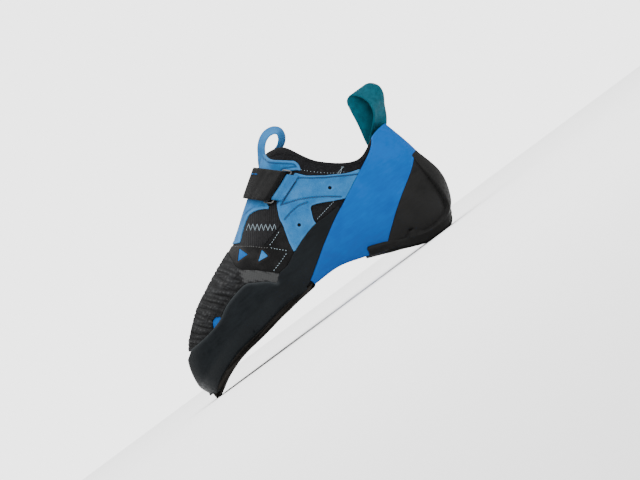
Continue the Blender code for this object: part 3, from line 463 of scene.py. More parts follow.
# %% Raise a sheet and roll its edges
def roll_edges(shape, radius, depth, steps=3):
    """Quarter-round edge that ends depth below the sheet."""
    shape.normal_update()
    rim = rims_of(shape)
    normals = {vertex: vertex.normal.copy() for edge in rim for vertex in edge.verts}
    for _ in range(3):
        around = {vertex: normal.copy() for vertex, normal in normals.items()}
        for edge in rim:
            a, b = edge.verts
            around[a] += normals[b]
            around[b] += normals[a]
        normals = {vertex: normal.normalized() for vertex, normal in around.items()}
    outward = {vertex: Vector() for vertex in normals}
    for edge in rim:
        face = edge.link_faces[0]
        a, b = edge.verts
        across = (b.co - a.co).cross(face.normal)
        if across.dot((a.co + b.co) / 2 - face.calc_center_median()) < 0:
            across = -across
        across.normalize()
        outward[a] += across
        outward[b] += across
    front = {}
    for vertex, across in outward.items():
        across -= normals[vertex] * across.dot(normals[vertex])
        if across.length > 1e-9:
            across.normalize()
        front[vertex] = (vertex.co.copy(), across, normals[vertex])
    edges = rim
    angles = [k * math.pi / 2 / steps for k in range(1, steps + 1)]
    drops = [(radius * math.sin(angle), radius * (1 - math.cos(angle))) for angle in angles]
    drops.append((radius, depth))
    for out, down in drops:
        made = bmesh.ops.extrude_edge_only(shape, edges=edges)["geom"]
        fresh = [thing for thing in made if isinstance(thing, bmesh.types.BMVert)]
        moved = {}
        for vertex in fresh:
            for edge in vertex.link_edges:
                source = edge.other_vert(vertex)
                if source in front:
                    moved[vertex] = front[source]
                    break
        for vertex, (start, across, normal) in moved.items():
            vertex.co = start + across * out - normal * down
        front = moved
        edges = [thing for thing in made if isinstance(thing, bmesh.types.BMEdge)
                 and all(vertex in moved for vertex in thing.verts)]


def lay_panel(name, material, field, height, counts=(12, 14), s_range=(0, 12),
              t_range=(0, 3), sides=(-1, 1), radius=0.45 * MM, relief=None, tint=None):
    """A panel of the given height over the last, cut to its field, with rolled edges.

    relief adds to the height; tint, from -1 to 1, darkens or lightens the finish."""
    shape = bmesh.new()
    tag = shape.verts.layers.float_vector.new("st")
    tone = shape.verts.layers.float.new("tint")
    for side in sides:
        cells = (int(counts[0] * (s_range[1] - s_range[0])),
                 int(counts[1] * (t_range[1] - t_range[0])))
        sheet = fine_grid(cells, s_range, t_range)
        cut_grid(sheet, side, field)
        sheet.verts.index_update()
        place = places_of(sheet)
        base = read_grid(LAST, side, place[:, 0], place[:, 1])
        out = read_grid(OUTWARD, side, place[:, 0], place[:, 1])
        rise = np.full(len(place), GAP + height)
        edge = -field(base, side)
        if relief:
            rise = rise + relief(base, side, place[:, 0], place[:, 1], edge)
        points = base + out * rise[:, None]
        points[:, 2] = np.maximum(points[:, 2], 0.0)
        fresh = [shape.verts.new(point) for point in points]
        # tint is painted shade and painted highlight on most panels, and the piece's own colour on
        # the vamp's cut edges and the toe patch's grey limb.
        shade = tint(base, edge) if tint else np.zeros(len(place))
        for vertex, (s, t), value in zip(fresh, place, shade):
            vertex[tag] = (s, t, side)
            vertex[tone] = value
        for face in sheet.faces:
            corners = [fresh[vertex.index] for vertex in face.verts]
            if side > 0:
                corners.reverse()
            if len({tuple(round(value, 7) for value in corner.co) for corner in corners}) > 2:
                shape.faces.new(corners)
        sheet.free()
    bmesh.ops.remove_doubles(shape, verts=shape.verts, dist=0.02 * MM)
    drop_loose(shape)
    roll_edges(shape, radius, height + GAP + 0.2 * MM)
    shape.normal_update()
    flat = shape.verts.layers.float_vector["st"]
    uv = shape.loops.layers.uv.new("place")
    for face in shape.faces:
        for loop in face.loops:
            s, t, side = loop.vert[flat]
            loop[uv].uv = (s, t + (4 if side > 0 else 0))
    thing = finish_mesh(name, shape, material)
    print(name, len(thing.data.polygons), "faces")
    return thing

# %% [markdown]
# Finishes come next. Each is procedural: noise on the object's own coordinates, so grain and
# nap keep their size on every panel. Small helpers place and join the nodes; each finish then
# reads as a recipe of colour, roughness and bump.

# %% Helpers for finishes
def new_finish(name, roughness, **settings):
    material = bpy.data.materials.new(name)
    material.use_nodes = True
    shader = material.node_tree.nodes["Principled BSDF"]
    shader.inputs["Roughness"].default_value = roughness
    for key, value in settings.items():
        shader.inputs[key.replace("_", " ")].default_value = value
    return material, material.node_tree, shader


def step_of(tree, kind, inputs=None, **settings):
    """One node of a recipe, with its settings and its inputs, linked or constant."""
    made = tree.nodes.new(kind)
    for key, value in settings.items():
        setattr(made, key, value)
    for key, value in (inputs or {}).items():
        if isinstance(value, bpy.types.NodeSocket):
            tree.links.new(value, made.inputs[key])
        else:
            made.inputs[key].default_value = value
    return made


def noise(tree, scale, detail=3.0, stretch=None):
    coords = step_of(tree, "ShaderNodeTexCoord").outputs["Object"]
    if stretch:
        coords = step_of(tree, "ShaderNodeMapping", {"Vector": coords, "Scale": stretch})
        coords = coords.outputs[0]
    made = step_of(tree, "ShaderNodeTexNoise",
                   {"Vector": coords, "Scale": scale, "Detail": detail, "Roughness": 0.55})
    return made.outputs["Fac"]


def shades(tree, value, *stops):
    """A colour ramp from pairs of place and colour."""
    ramp = step_of(tree, "ShaderNodeValToRGB", {"Fac": value})
    band = ramp.color_ramp
    while len(band.elements) < len(stops):
        band.elements.new(0.5)
    for element, (place, colour) in zip(band.elements, stops):
        element.position = place
        element.color = (*colour, 1.0)
    return ramp.outputs["Color"]


def reckon(tree, kind, a, b=0.0, clamp=False):
    return step_of(tree, "ShaderNodeMath", {0: a, 1: b}, operation=kind,
                   use_clamp=clamp).outputs[0]


def sum_of(tree, first, share, second, other_share):
    return reckon(tree, "ADD", reckon(tree, "MULTIPLY", first, share),
                  reckon(tree, "MULTIPLY", second, other_share))


def toned(tree, colour, dark, light):
    """Turns a colour towards dark or light where the piece's tint says so."""
    # On most panels the darkening is painted shade and the lightening a painted highlight; on the
    # vamp's cut edges and the patch's grey limb it is the piece's own colour.
    tint = step_of(tree, "ShaderNodeAttribute", attribute_name="tint").outputs["Fac"]
    for sign, aim in ((-1.0, dark), (1.0, light)):
        share = reckon(tree, "MULTIPLY", tint, sign, True)
        colour = step_of(tree, "ShaderNodeMix", {0: share, 6: colour, 7: (*aim, 1.0)},
                         data_type="RGBA").outputs[2]
    return colour


def coloured(tree, shader, colour):
    tree.links.new(colour, shader.inputs["Base Color"])


def relief_of(tree, shader, value, distance, strength=1.0, under=None):
    inputs = {"Height": value, "Distance": distance, "Strength": strength}
    if under:
        inputs["Normal"] = under
    made = step_of(tree, "ShaderNodeBump", inputs)
    tree.links.new(made.outputs[0], shader.inputs["Normal"])
    return made.outputs[0]


# %% [markdown]
# Suede is the flesh side of split leather. Its nap scatters light, so it is very rough with a
# soft sheen at grazing angles, and each stroke of a hand leaves lighter and darker patches.

# %% Suede
def suede_finish(name, dark, middle, light, nap=1.0, deep=(.001, .008, .030),
                 pale=(.034, .140, .295)):
    material, tree, shader = new_finish(name, 0.92, Sheen_Weight=0.06, Sheen_Roughness=0.45,
                                        Specular_IOR_Level=0.1)
    patches = noise(tree, 70, 4)
    fibres = noise(tree, 1500, 3)
    both = sum_of(tree, patches, 0.62, fibres, 0.38)
    coloured(tree, shader, toned(tree, shades(tree, both, (0.36, dark), (0.50, middle),
                                              (0.64, light)), deep, pale))
    coarse = relief_of(tree, shader, noise(tree, 420, 4), 0.25 * MM, 0.5)
    relief_of(tree, shader, fibres, 0.16 * MM * nap, 0.8, coarse)
    return material


blue_suede = suede_finish("blue_suede", (.007, .062, .170), (.013, .088, .225), (.026, .120, .270))
black_suede = suede_finish("black_microfibre", (.0015, .0015, .0015), (.003, .003, .003),
                           (.008, .008, .008), 0.7, (.001, .001, .001), (.018, .014, .012))
bright_inset = suede_finish("bright_blue_inset", (.0003, .042, .160), (.0005, .056, .200),
                            (.001, .070, .235), 0.4, pale=(.001, .10, .30))
pale_inset = suede_finish("pale_blue_inset", (.006, .070, .210), (.016, .110, .280),
                          (.040, .160, .350), 1.4)
print("suede finishes ready")

# %% [markdown]
# Climbing rubber is smooth but never shiny: chalk and rock leave it satin, with a grey haze
# and fine scuffs. Roughness varies with the scuffs, which are stretched noise.

# %% Rubber
def rubber_finish(name, dark, light, roughness=0.5, haze=0.5, scuff=1.0,
                  deep=(.001, .001, .001), pale=(.05, .05, .05)):
    material, tree, shader = new_finish(name, roughness, Specular_IOR_Level=0.08)
    cloud = noise(tree, 45, 5)
    scuffs = noise(tree, 260, 5, (0.35, 1.0, 1.6))
    both = sum_of(tree, cloud, haze, scuffs, 1 - haze)
    coloured(tree, shader, toned(tree, shades(tree, both, (0.38, dark), (0.66, light)),
                                 deep, pale))
    rough = step_of(tree, "ShaderNodeMapRange", {
        "Value": scuffs, "From Min": 0.3, "From Max": 0.7, "To Min": roughness - 0.08,
        "To Max": roughness + 0.14})
    tree.links.new(rough.outputs[0], shader.inputs["Roughness"])
    coarse = relief_of(tree, shader, scuffs, 0.10 * MM * scuff, 0.35)
    relief_of(tree, shader, noise(tree, 900, 3), 0.05 * MM, 0.5, coarse)
    return material


rand_rubber = rubber_finish("rand_rubber", (.0020, .0030, .0038), (.0044, .0060, .0072), 0.5,
                            pale=(.020, .023, .025))
patch_rubber = rubber_finish("patch_rubber", (.0015, .0015, .0016), (.0125, .0130, .0140), 0.7,
                             0.2, 5.0, pale=(.046, .047, .047))
heel_rubber = rubber_finish("heel_rubber", (.0048, .0048, .0046), (.0085, .0084, .0082), 0.58)
sole_rubber = rubber_finish("sole_rubber", (.006, .0052, .0046), (.016, .0135, .0115), 0.6,
                            0.4, 2.0)
blue_rubber = rubber_finish("blue_rubber", (.0002, .047, .205), (.0004, .064, .255), 0.5, 0.6,
                            0.4, deep=(.0001, .022, .105), pale=(.001, .088, .310))
print("rubber finishes ready")

# %% [markdown]
# Knit and elastic are made of loops and cords. On the body of the upper a fine knit is enough
# as bump; the elastic's ribs are large enough to be real geometry, made further down.

# %% Fabric
def knit_finish(name, dark, light, scale=1100, depth=0.18 * MM):
    material, tree, shader = new_finish(name, 0.9, Sheen_Weight=0.05, Sheen_Roughness=0.5,
                                        Specular_IOR_Level=0.08)
    coords = step_of(tree, "ShaderNodeTexCoord").outputs["Object"]
    cells = step_of(tree, "ShaderNodeTexVoronoi", {"Vector": coords, "Scale": scale})
    both = sum_of(tree, cells.outputs["Distance"], 0.6, noise(tree, 300, 4), 0.5)
    coloured(tree, shader, toned(tree, shades(tree, both, (0.3, dark), (0.75, light)),
                                 (.0005, .0005, .0005), (.020, .020, .020)))
    relief_of(tree, shader, cells.outputs["Distance"], depth, 0.8)
    return material


def weave_finish(name, dark, light, rows=1.1, picks=0.8):
    """Webbing: its UV is in millimetres, U across the tape and V along it."""
    material, tree, shader = new_finish(name, 0.8, Sheen_Weight=0.05, Sheen_Roughness=0.4,
                                        Specular_IOR_Level=0.1)
    uv = step_of(tree, "ShaderNodeTexCoord").outputs["UV"]
    split = step_of(tree, "ShaderNodeSeparateXYZ", {0: uv})
    across = reckon(tree, "MULTIPLY", split.outputs[0], math.tau / rows)
    along = reckon(tree, "MULTIPLY", split.outputs[1], math.tau / picks)
    shifted = reckon(tree, "ADD", along, reckon(tree, "MULTIPLY", across, 0.5))
    yarn = reckon(tree, "MULTIPLY", reckon(tree, "SINE", across), reckon(tree, "SINE", shifted))
    lift = reckon(tree, "ADD", reckon(tree, "MULTIPLY", yarn, 0.5), 0.5)
    both = sum_of(tree, lift, 0.45, noise(tree, 240, 4), 0.6)
    coloured(tree, shader, shades(tree, both, (0.25, dark), (0.8, light)))
    relief_of(tree, shader, lift, 0.20 * MM, 0.9)
    return material


black_knit = knit_finish("black_stretch_fabric", (.001, .001, .0012), (.008, .008, .009))
black_elastic = knit_finish("black_elastic", (.001, .001, .0012), (.009, .009, .010), 1600,
                            .1 * MM)
lining = knit_finish("insole_board", (.008, .008, .009), (.025, .025, .026), 900)
black_weave = weave_finish("black_webbing", (.0008, .0008, .0008), (.0042, .0042, .0042))
teal_weave = weave_finish("teal_webbing", (.0004, .022, .034), (.0012, .080, .112), 1.3, 1.0)


def thread_finish(name, low, high):
    material, tree, shader = new_finish(name, 0.7)
    twist = noise(tree, 2500, 2)
    coloured(tree, shader, shades(tree, twist, (0.4, low), (0.6, high)))
    relief_of(tree, shader, twist, 0.08 * MM, 0.7)
    return material


grey_thread = thread_finish("grey_thread", (.035, .035, .035), (.08, .08, .08))
navy_thread = thread_finish("navy_thread", (.001, .006, .020), (.003, .012, .035))
white_thread = thread_finish("white_thread", (.14, .19, .22), (.26, .32, .36))
steel, tree, shader = new_finish("ring_steel", 0.28, Metallic=1.0)
coloured(tree, shader, shades(tree, noise(tree, 300, 4), (0.4, (.05, .05, .05)),
                              (0.6, (.12, .12, .12))))
relief_of(tree, shader, noise(tree, 700, 4), 0.04 * MM, 0.4)
print("finishes:", len(bpy.data.materials))

# %% [markdown]
# The upper is one stretchy sock of knit. It could be a solid with the inside cut out; here
# an outer and an inner sheet are laid on the last and their open rims bridged, so the wall is
# even and the collar opens as on the real shoe.

# %% Upper
def sheet_on_last(height, flip):
    """A sheet of the last at one height, open at the collar and under the foot."""
    shape = bmesh.new()
    under, collar = -0.42, 3
    for side in (-1, 1):
        sheet = fine_grid((168, 60), (0, 12), (under, collar))
        sheet.verts.index_update()
        points = on_last(side, *places_of(sheet).T, height)
        fresh = [shape.verts.new(point) for point in points]
        for face in sheet.faces:
            corners = [fresh[vertex.index] for vertex in face.verts]
            if (side > 0) != flip:
                corners.reverse()
            shape.faces.new(corners)
        sheet.free()
    bmesh.ops.remove_doubles(shape, verts=shape.verts, dist=0.00002)
    return shape


def build_upper():
    shape = bmesh.new()
    for height, flip in ((0.0, False), (-UPPER_WALL, True)):
        sheet = sheet_on_last(height, flip)
        mesh = bpy.data.meshes.new("sheet")
        sheet.to_mesh(mesh)
        sheet.free()
        shape.from_mesh(mesh)
        bpy.data.meshes.remove(mesh)
    top = [edge for edge in rims_of(shape) if sum(vertex.co.z for vertex in edge.verts) > 0.1]
    under = [edge for edge in rims_of(shape) if sum(vertex.co.z for vertex in edge.verts) <= 0.1]
    for rim in (top, under):
        bmesh.ops.bridge_loops(shape, edges=rim)
    bmesh.ops.recalc_face_normals(shape, faces=shape.faces)
    thing = finish_mesh("upper_sock", shape, black_knit)
    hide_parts("upper")
    print("upper:", len(thing.data.polygons), "faces")


build_upper()

# %% [markdown]
# The collar is bound with a band of ribbed elastic, so it grips the ankle. Its cords run
# along the band. They are made by waves in the band's height, as real cords would show them,
# and the band swells a little between its two edges.

# %% Elastic of the collar
COLLAR_LOW, COLLAR_RISE, CORDS = 2.80, 0.20, 5


def collar_band():
    start, end = THROAT + 0.30, 12.0

    def inside(p, side):
        return np.full(p.shape[0], -1.0)

    def cords(t):
        return np.cos(unit((t - COLLAR_LOW) / COLLAR_RISE) * CORDS * math.tau)

    def ribs(base, side, s, t, edge):
        swell = np.sin(unit((t - COLLAR_LOW) / COLLAR_RISE) * math.pi) ** 0.5
        return 0.5 * MM * swell - 0.10 * MM * cords(t)

    thing = lay_panel("collar_elastic", black_elastic, inside, 0.1 * MM, (24, 150), (start, end),
                      (COLLAR_LOW, 3.0), relief=ribs, radius=0.4 * MM)
    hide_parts("upper")


collar_band()

# %% [markdown]
# Rubber pieces: the rand wraps the forefoot above the sole, the blue sling pulls the heel
# forward from the Achilles down under the arch, and the cup and tread close the heel. They
# are die-cut sheets glued to the last, so each is a panel with its own thickness.

# %% Rand, sling, heel cup
SOLE_BACK = -0.1080
rand_line = pattern(seam(RAND_TOP, 0, 8), seam(RAND_TOP, 7), [(-0.26, -0.05)], [(-0.08, -0.05)],
                    seam(SLING_FRONT, 3)[::-1])
sling_line = pattern(seam(SLING_FRONT), [(SOLE_BACK, 0.0274)], [(SOLE_BACK, -0.02)],
                     [(-0.050, -0.02)], seam(SLING_REAR)[::-1])
cup_line = pattern(seam(SLING_REAR), [(-0.050, -0.02)], [(0.08, -0.02)], [(0.08, 0.078)])

rand_edge = seam(RAND_TOP, 7)


def toe_swell(base, side, s, t, edge):
    return 1.1 * MM * unit(1 - s / 2.5) ** 1.5


# The rand's tint is a painted highlight along its upper edge, where it meets the toe patch.
rand = lay_panel("rand", rand_rubber, within(rand_line, 0.5 * MM), RAND, (20, 30), (0, 8.6),
                 (0, 2.2), radius=0.5 * MM, relief=toe_swell,
                 tint=lambda base, edge: 0.8 * hump(near(rand_edge, base), 1.6 * MM))
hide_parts("toe_rand")
# The sling's tint is darker near the floor and lighter higher up: painted shade low down and
# painted light up high.
sling = lay_panel("tension_sling", blue_rubber, within(sling_line), SLING, (20, 26), (6, 12),
                  (-1, 3), tint=lambda base, edge: 0.7 * unit(base[:, 2] / 0.1) - 0.35)
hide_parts("sling")
cup = lay_panel("heel_shell", heel_rubber, within(cup_line), CUP, (14, 22), (8.6, 12), (-1, 2.6))
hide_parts("heel_cup")

# %% [markdown]
# The heel tread lies over cup and sling. Its outline is three outlines at once: one in the
# side view, one seen from above and one from behind; the field is the greatest of the three.

# %% Heel tread
HALF_TREAD = 0.021


def tread_field(p, side):
    side_line = pattern(seam(TREAD_TOP), [(0.08, -0.05)], [(-0.08, -0.05)])
    plan = read_line(np.array(TREAD_PLAN, float), np.arange(49) / 8)
    plan = np.stack([plan[:, 0] * LENGTH - HEEL_REST, plan[:, 1] * HALF_TREAD], axis=1)
    plan = np.vstack([plan, plan[::-1] * [1, -1]])
    back = read_line(np.array(TREAD_BACK, float), np.arange(41) / 8)
    back = np.stack([back[:, 1] * HALF_TREAD, back[:, 0] * INSTEP_HEIGHT], axis=1)
    back = np.vstack([back, back[::-1] * [-1, 1]])
    return np.maximum.reduce([distance_to(side_line, p[:, 0], p[:, 2]),
                              distance_to(plan, p[:, 0], p[:, 1]),
                              distance_to(back, p[:, 1], p[:, 2])]) + 0.6 * MM


def tread_relief(base, side, s, t, edge):
    along = (base[:, 0] + HEEL_REST) / LENGTH
    height = base[:, 2] / INSTEP_HEIGHT
    front = blend(0.25, 1.0, (along - 0.64) / 0.12)
    back = blend(1.0, 0.62, (height - 0.08) / 0.24) - blend(0.0, 0.66, (height - 0.32) / 0.14)
    near_feather = np.where(t > 0, hump(t, 0.3),
                            np.maximum(hump(t, 0.3), unit((s - 11) / 0.7)))
    arch = unit(9.9 - s) * unit((along - 0.70) / 0.05)
    corner = (1.4 + 2.3 * unit(s - 10.6) + 2.0 * arch) * near_feather * MM
    return TREAD * (np.minimum(front, back) - 1.0) - corner


tread = lay_panel("heel_strip", heel_rubber, tread_field, SLING + GAP + TREAD, (20, 26), (8, 12),
                  (-1, 2.4), relief=tread_relief, radius=0.9 * MM)
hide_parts("heel_tread")

# %% [markdown]
# The ribbed patch over the toes hooks on holds. It is thinner, textured rubber.

# %% Toe patch and vamp
patch_line = pattern(seam(PATCH_REAR), side_view(RAND_TOP[6:7]), seam(RAND_TOP, 7),
                     [(-0.26, 0.2)], [(-0.14, 0.2)])
vamp_line = pattern(seam(PATCH_REAR), side_view(RAND_TOP[6:7]), seam(RAND_TOP, 4, 7)[::-1],
                    seam(SIDE_FRONT, 2)[::-1], seam(VAMP_TOP)[::-1], [(-0.14, 0.2)])


crescent = measured([(36.4, 46.6), (37.8, 49.6), (39.4, 51.6), (42.4, 52.5), (46.0, 51.0),
                     (43.6, 49.0), (40.3, 47.2)])
limb_line = measured([(79.3, 71.6), (85.6, 67.6), (93.1, 61.4), (98.5, 55.4), (104.7, 50.8),
                      (98.1, 43.0), (93.6, 49.2), (88.1, 54.0), (81.2, 58.3), (76.0, 60.7)
                      ])


def wrinkles(base):
    """Folds across the toes: 0 in a crease, 1 on a ridge."""
    x, z = base[:, 0] / MM + TOE_END, base[:, 2] / MM
    run = x * 0.804 + z * 0.594
    side = z * 0.804 - x * 0.594
    bend = 1.3 * np.sin(side * 0.13 + run * 0.05 + 1.1) + 1.1 * np.sin(run * 0.31 + 0.5)
    bend = bend + 0.7 * np.sin(side * 0.33 + run * 0.23) + 0.5 * np.sin(run * 0.83 + side * 0.21)
    fold = np.abs(np.sin((run + bend) / 5.0 * math.pi)) ** 0.6
    fine = np.abs(np.sin((run - 0.8 * bend + side * 0.12) / 2.6 * math.pi)) ** 0.6
    share = unit(np.sin(run * 0.55 + side * 0.35) * np.sin(side * 0.23 - run * 0.19) * 2)
    depth = 0.55 + 0.45 * np.sin(side * 0.27 + run * 0.61) * np.sin(run * 0.37 - 1.0)
    return 1 - (1 - fold) * depth - 0.55 * (1 - fine) * share


def wrinkled(base):
    """Where the wrinkles lie: over the toes, fading towards rand, limb and throat."""
    limb = distance_to(limb_line, base[:, 0], base[:, 2])
    x = base[:, 0] / MM + TOE_END
    return unit(limb / (4 * MM) + 0.15) * np.clip((86 - x) / 14, 0.15, 1)


def patch_field(p, side):
    x, z = p[..., 0], p[..., 2]
    whole = distance_to(patch_line, x, z)
    if side < 0:
        whole = np.maximum(whole, -distance_to(crescent, x, z))
    return whole + 0.45 * MM


def patch_relief(base, side, s, t, edge):
    x, z = base[:, 0] / MM, base[:, 2] / MM
    fade = np.clip(edge / (1.6 * MM), 0.25, 1) * wrinkled(base)
    lumps = 0.10 * MM * np.sin(x * 2.3 + 1.7 * np.sin(z * 1.1)) * np.sin(z * 2.1 + x * 0.7)
    tip = toe_swell(base, side, s, t, edge) - 1.2 * MM * unit((34 - x - TOE_END) / 12)
    return fade * 0.85 * MM * (wrinkles(base) - 0.75) + lumps * wrinkled(base) + tip


def patch_shading_and_grey(base, edge):
    x, z = base[:, 0] / MM, base[:, 2] / MM
    ridge = wrinkles(base)
    # Painted shade darkens the creases between the toe wrinkles and a painted highlight lightens
    # their ridges; the grey of the limb is the rubber's own colour.
    dark = -1.5 * (1 - ridge) * wrinkled(base)
    gloss = np.sin(x * 1.3 - z * 0.6 + 1.2 * np.sin(z * 0.9)) * np.sin(z * 1.7 + x * 0.4)
    ridge_highlight = 0.42 * unit(ridge) ** 6 * unit(0.35 + gloss) * wrinkled(base)
    dark = np.clip(dark + ridge_highlight, -1, 1)
    limb = -distance_to(limb_line, base[:, 0], base[:, 2])
    ragged = 1.0 * MM * np.sin(x * 1.9 + z * 1.1) + 0.7 * MM * np.sin(x * 4.1 - z * 2.3)
    patchy = 0.75 + 0.25 * np.sin(x * 2.9 + z * 0.7) * np.sin(z * 3.1 - x * 1.3)
    grey = 0.8 * patchy * unit((limb + ragged) / (1.2 * MM))
    return np.where(grey > 0.02, grey, dark)


patch = lay_panel("toe_cap", patch_rubber, patch_field, PATCH, (44, 56), (0, 6), (0.8, 3),
                  relief=patch_relief, tint=patch_shading_and_grey)
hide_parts("toe_patch")
triangles = [measured(corners) for corners in (
    ((89.9, 85.0), (92.5, 77.2), (82.6, 77.4)), ((103.4, 73.8), (104.4, 66.9), (95.4, 67.9)))]


def vamp_field(p, side):
    x, z = p[..., 0], p[..., 2]
    whole = distance_to(vamp_line, x, z)
    for corners in triangles:
        whole = np.maximum(whole, -distance_to(corners, x, z) - 0.2 * MM)
    return whole + 0.35 * MM


def vamp_tint(base, edge):
    x, z = base[:, 0], base[:, 2]
    close = np.minimum(*[distance_to(corners, x, z) for corners in triangles])
    return 0.5 * hump(close - 0.8 * MM, 0.5 * MM)


vamp = lay_panel("vamp_facing", black_suede, vamp_field, FACING, (44, 50), (3, 7.2), (1, 3),
                 radius=0.35 * MM, tint=vamp_tint)
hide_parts("vamp_panel")

# %% [markdown]
# The blue suede quarters and the saddle over the instep. The quarter is one piece with a hole
# for the mesh window, so its field is the outline less the window.

# %% Suede panels
side_line = pattern(seam(SIDE_FRONT), seam(RAND_TOP, 0, 5)[::-1], side_view(SLING_FRONT[2:3]),
                    seam(SIDE_TOP)[::-1])
window_rows = np.vstack([SIDE_WINDOW[-1:], SIDE_WINDOW, SIDE_WINDOW[:2]])
window_line = read_line(side_view(window_rows), 1 + np.arange(len(SIDE_WINDOW) * 8) / 8)


PINHOLES = ((175.8, 81.4), (138.7, 72.2))
QUARTER_SEAMS = [measured(line) for line in (
    ((157.6, 105.2), (145.1, 100.6), (133.2, 95.2)),
    ((157.6, 101.6), (147.1, 97.2), (136.3, 93.0)),
    ((137.5, 92.9), (149.6, 88.8), (158.6, 84.3), (168.6, 78.1), (178.7, 70.3)),
    ((132.0, 82.3), (139.4, 84.0), (147.0, 84.6), (154.7, 82.7)),
    ((157.2, 104.6), (163.5, 100.2), (168.1, 96.6), (176.9, 90.4), (186.2, 84.9), (195.0, 79.6),
     (206.0, 73.6)))]


def quarter_field(p, side):
    x, z = p[..., 0], p[..., 2]
    whole = np.maximum(distance_to(side_line, x, z), -distance_to(window_line, x, z)) + 0.4 * MM
    for along, height in PINHOLES:
        spot = np.hypot(x - along * MM + HEEL_REST, z - height * MM)
        whole = np.maximum(whole, 1.9 * MM - spot)
    return whole


def quarter_groove(base):
    lines = [near(line, base) for line in QUARTER_SEAMS]
    return np.minimum.reduce(lines)


def quarter_relief(base, side, s, t, edge):
    groove = quarter_groove(base)
    edge_roll = near(roll_line, base)
    roll = 0.55 * MM * hump(edge_roll, 2.2 * MM)
    puff = 0.16 * MM * hump(groove - 1.4 * MM, 0.8 * MM)
    return roll + puff - 0.45 * MM * hump(groove, 0.45 * MM)


def quarter_painted_shading(base, edge):
    groove = quarter_groove(base)
    # Painted shade in the seam grooves, a painted highlight on the rolled front edge and another
    # along the panel's rims.
    dark = -0.85 * hump(groove, 0.55 * MM)
    pale = 0.75 * hump(near(roll_line, base), 2.0 * MM, 4)
    rim = 0.45 * hump(edge, 0.9 * MM)
    return np.where(dark < -0.1, dark, np.maximum(pale, rim))


roll_line = measured([(152.6, 109.6), (129.0, 98.6)])
for name, side in (("outer", -1), ("inner", 1)):
    quarter = lay_panel(f"quarter_{name}", blue_suede, quarter_field, SUEDE, (40, 56), (5, 11),
                        (1.2, 3), sides=(side,), radius=0.4 * MM, relief=quarter_relief,
                        tint=quarter_painted_shading)
    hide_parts(f"side_panel_{name}")

tongue_line = pattern(seam(TONGUE_EDGE, 0, 3), seam(TONGUE_EDGE, 2, 9), seam(TONGUE_EDGE, 9, 11),
                      seam(TONGUE_EDGE, 10, 13), seam(TONGUE_EDGE, 12), [(-0.155, 0.16)])


def saddle_relief(base, side, s, t, edge):
    return -0.4 * MM * hump(edge - 2.2 * MM, 0.4 * MM) * (base[:, 2] > 0.09)


def saddle_painted_shading(base, edge):
    # Painted shade in the groove 2.2 mm inside the upper edge, and a painted highlight on the
    # rolled rim.
    dark = -0.8 * hump(edge - 2.2 * MM, 0.5 * MM) * (base[:, 2] > 0.104)
    return np.where(dark < -0.1, dark, 0.6 * hump(edge, 1.2 * MM))


tongue = lay_panel("instep_saddle", blue_suede, within(tongue_line, 0.4 * MM), SUEDE, (40, 56),
                   (4.6, 9.2), (1.8, 3), radius=0.4 * MM, relief=saddle_relief, tint=saddle_painted_shading)
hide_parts("tongue_panel")

# %% [markdown]
# The half sole and the insole are slabs between the two feather lines. The sole's edge is
# buffed: its rims are rounded by moving the outer rows of a closed grid along a quarter arc.

# %% Sole and insole
def slab(name, material, s_end, out, top_shift, thickness, rounding, cells=(90, 24)):
    """A closed slab following the underside from the toe to section s_end."""
    shape, spots = unit_grid(cells[0], 2 * cells[1])
    along = 0.02 + spots[:, 0] * (s_end - 0.02)
    turn = spots[:, 1] * 2
    lower = turn > 1
    across = np.where(lower, 2 - turn, turn)
    rims = [on_level(FEATHER, along, side) - feather_inward(along, side) * out(along)[:, None]
            for side in (-1, 1)]
    points = rims[0] + (rims[1] - rims[0]) * across[:, None]
    width = np.linalg.norm(rims[1] - rims[0], axis=1)
    edge = np.minimum(np.minimum(across, 1 - across) * width, (s_end - along) * 16 * MM)
    round_off = rounding - np.sqrt(np.maximum(rounding ** 2 - np.clip(rounding - edge, 0,
                                                                      rounding) ** 2, 0))
    deep = thickness(along)
    sunk = top_shift + 1.4 * MM * unit(along - 5) * (out(along) > 0)
    points[:, 2] += np.where(lower, top_shift - deep + round_off, sunk - round_off)
    points[:, 2] = np.maximum(points[:, 2], 0.0)
    move_to(shape, points)
    bmesh.ops.remove_doubles(shape, verts=shape.verts, dist=0.00003)
    close_up(shape)
    return finish_mesh(name, shape, material)


sole = slab("half_sole", sole_rubber, 6.0,
            lambda s: 2.4 * MM * blend(0.2, 1.0, s / 1.2) * blend(1.0, 0.1, (s - 5.0) / 0.9),
            -2 * GAP,
            lambda s: SOLE * blend(1.0, 0.6, s - 5.0), 1.0 * MM)
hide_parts("outsole")
inner = slab("insole_board", lining, 11.95, lambda s: -3.0 * MM + 0 * s, UPPER_WALL + GAP + INSOLE,
             lambda s: INSOLE + 0 * s, 0.7 * MM, (110, 20))
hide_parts("insole")
print("sole and insole done")
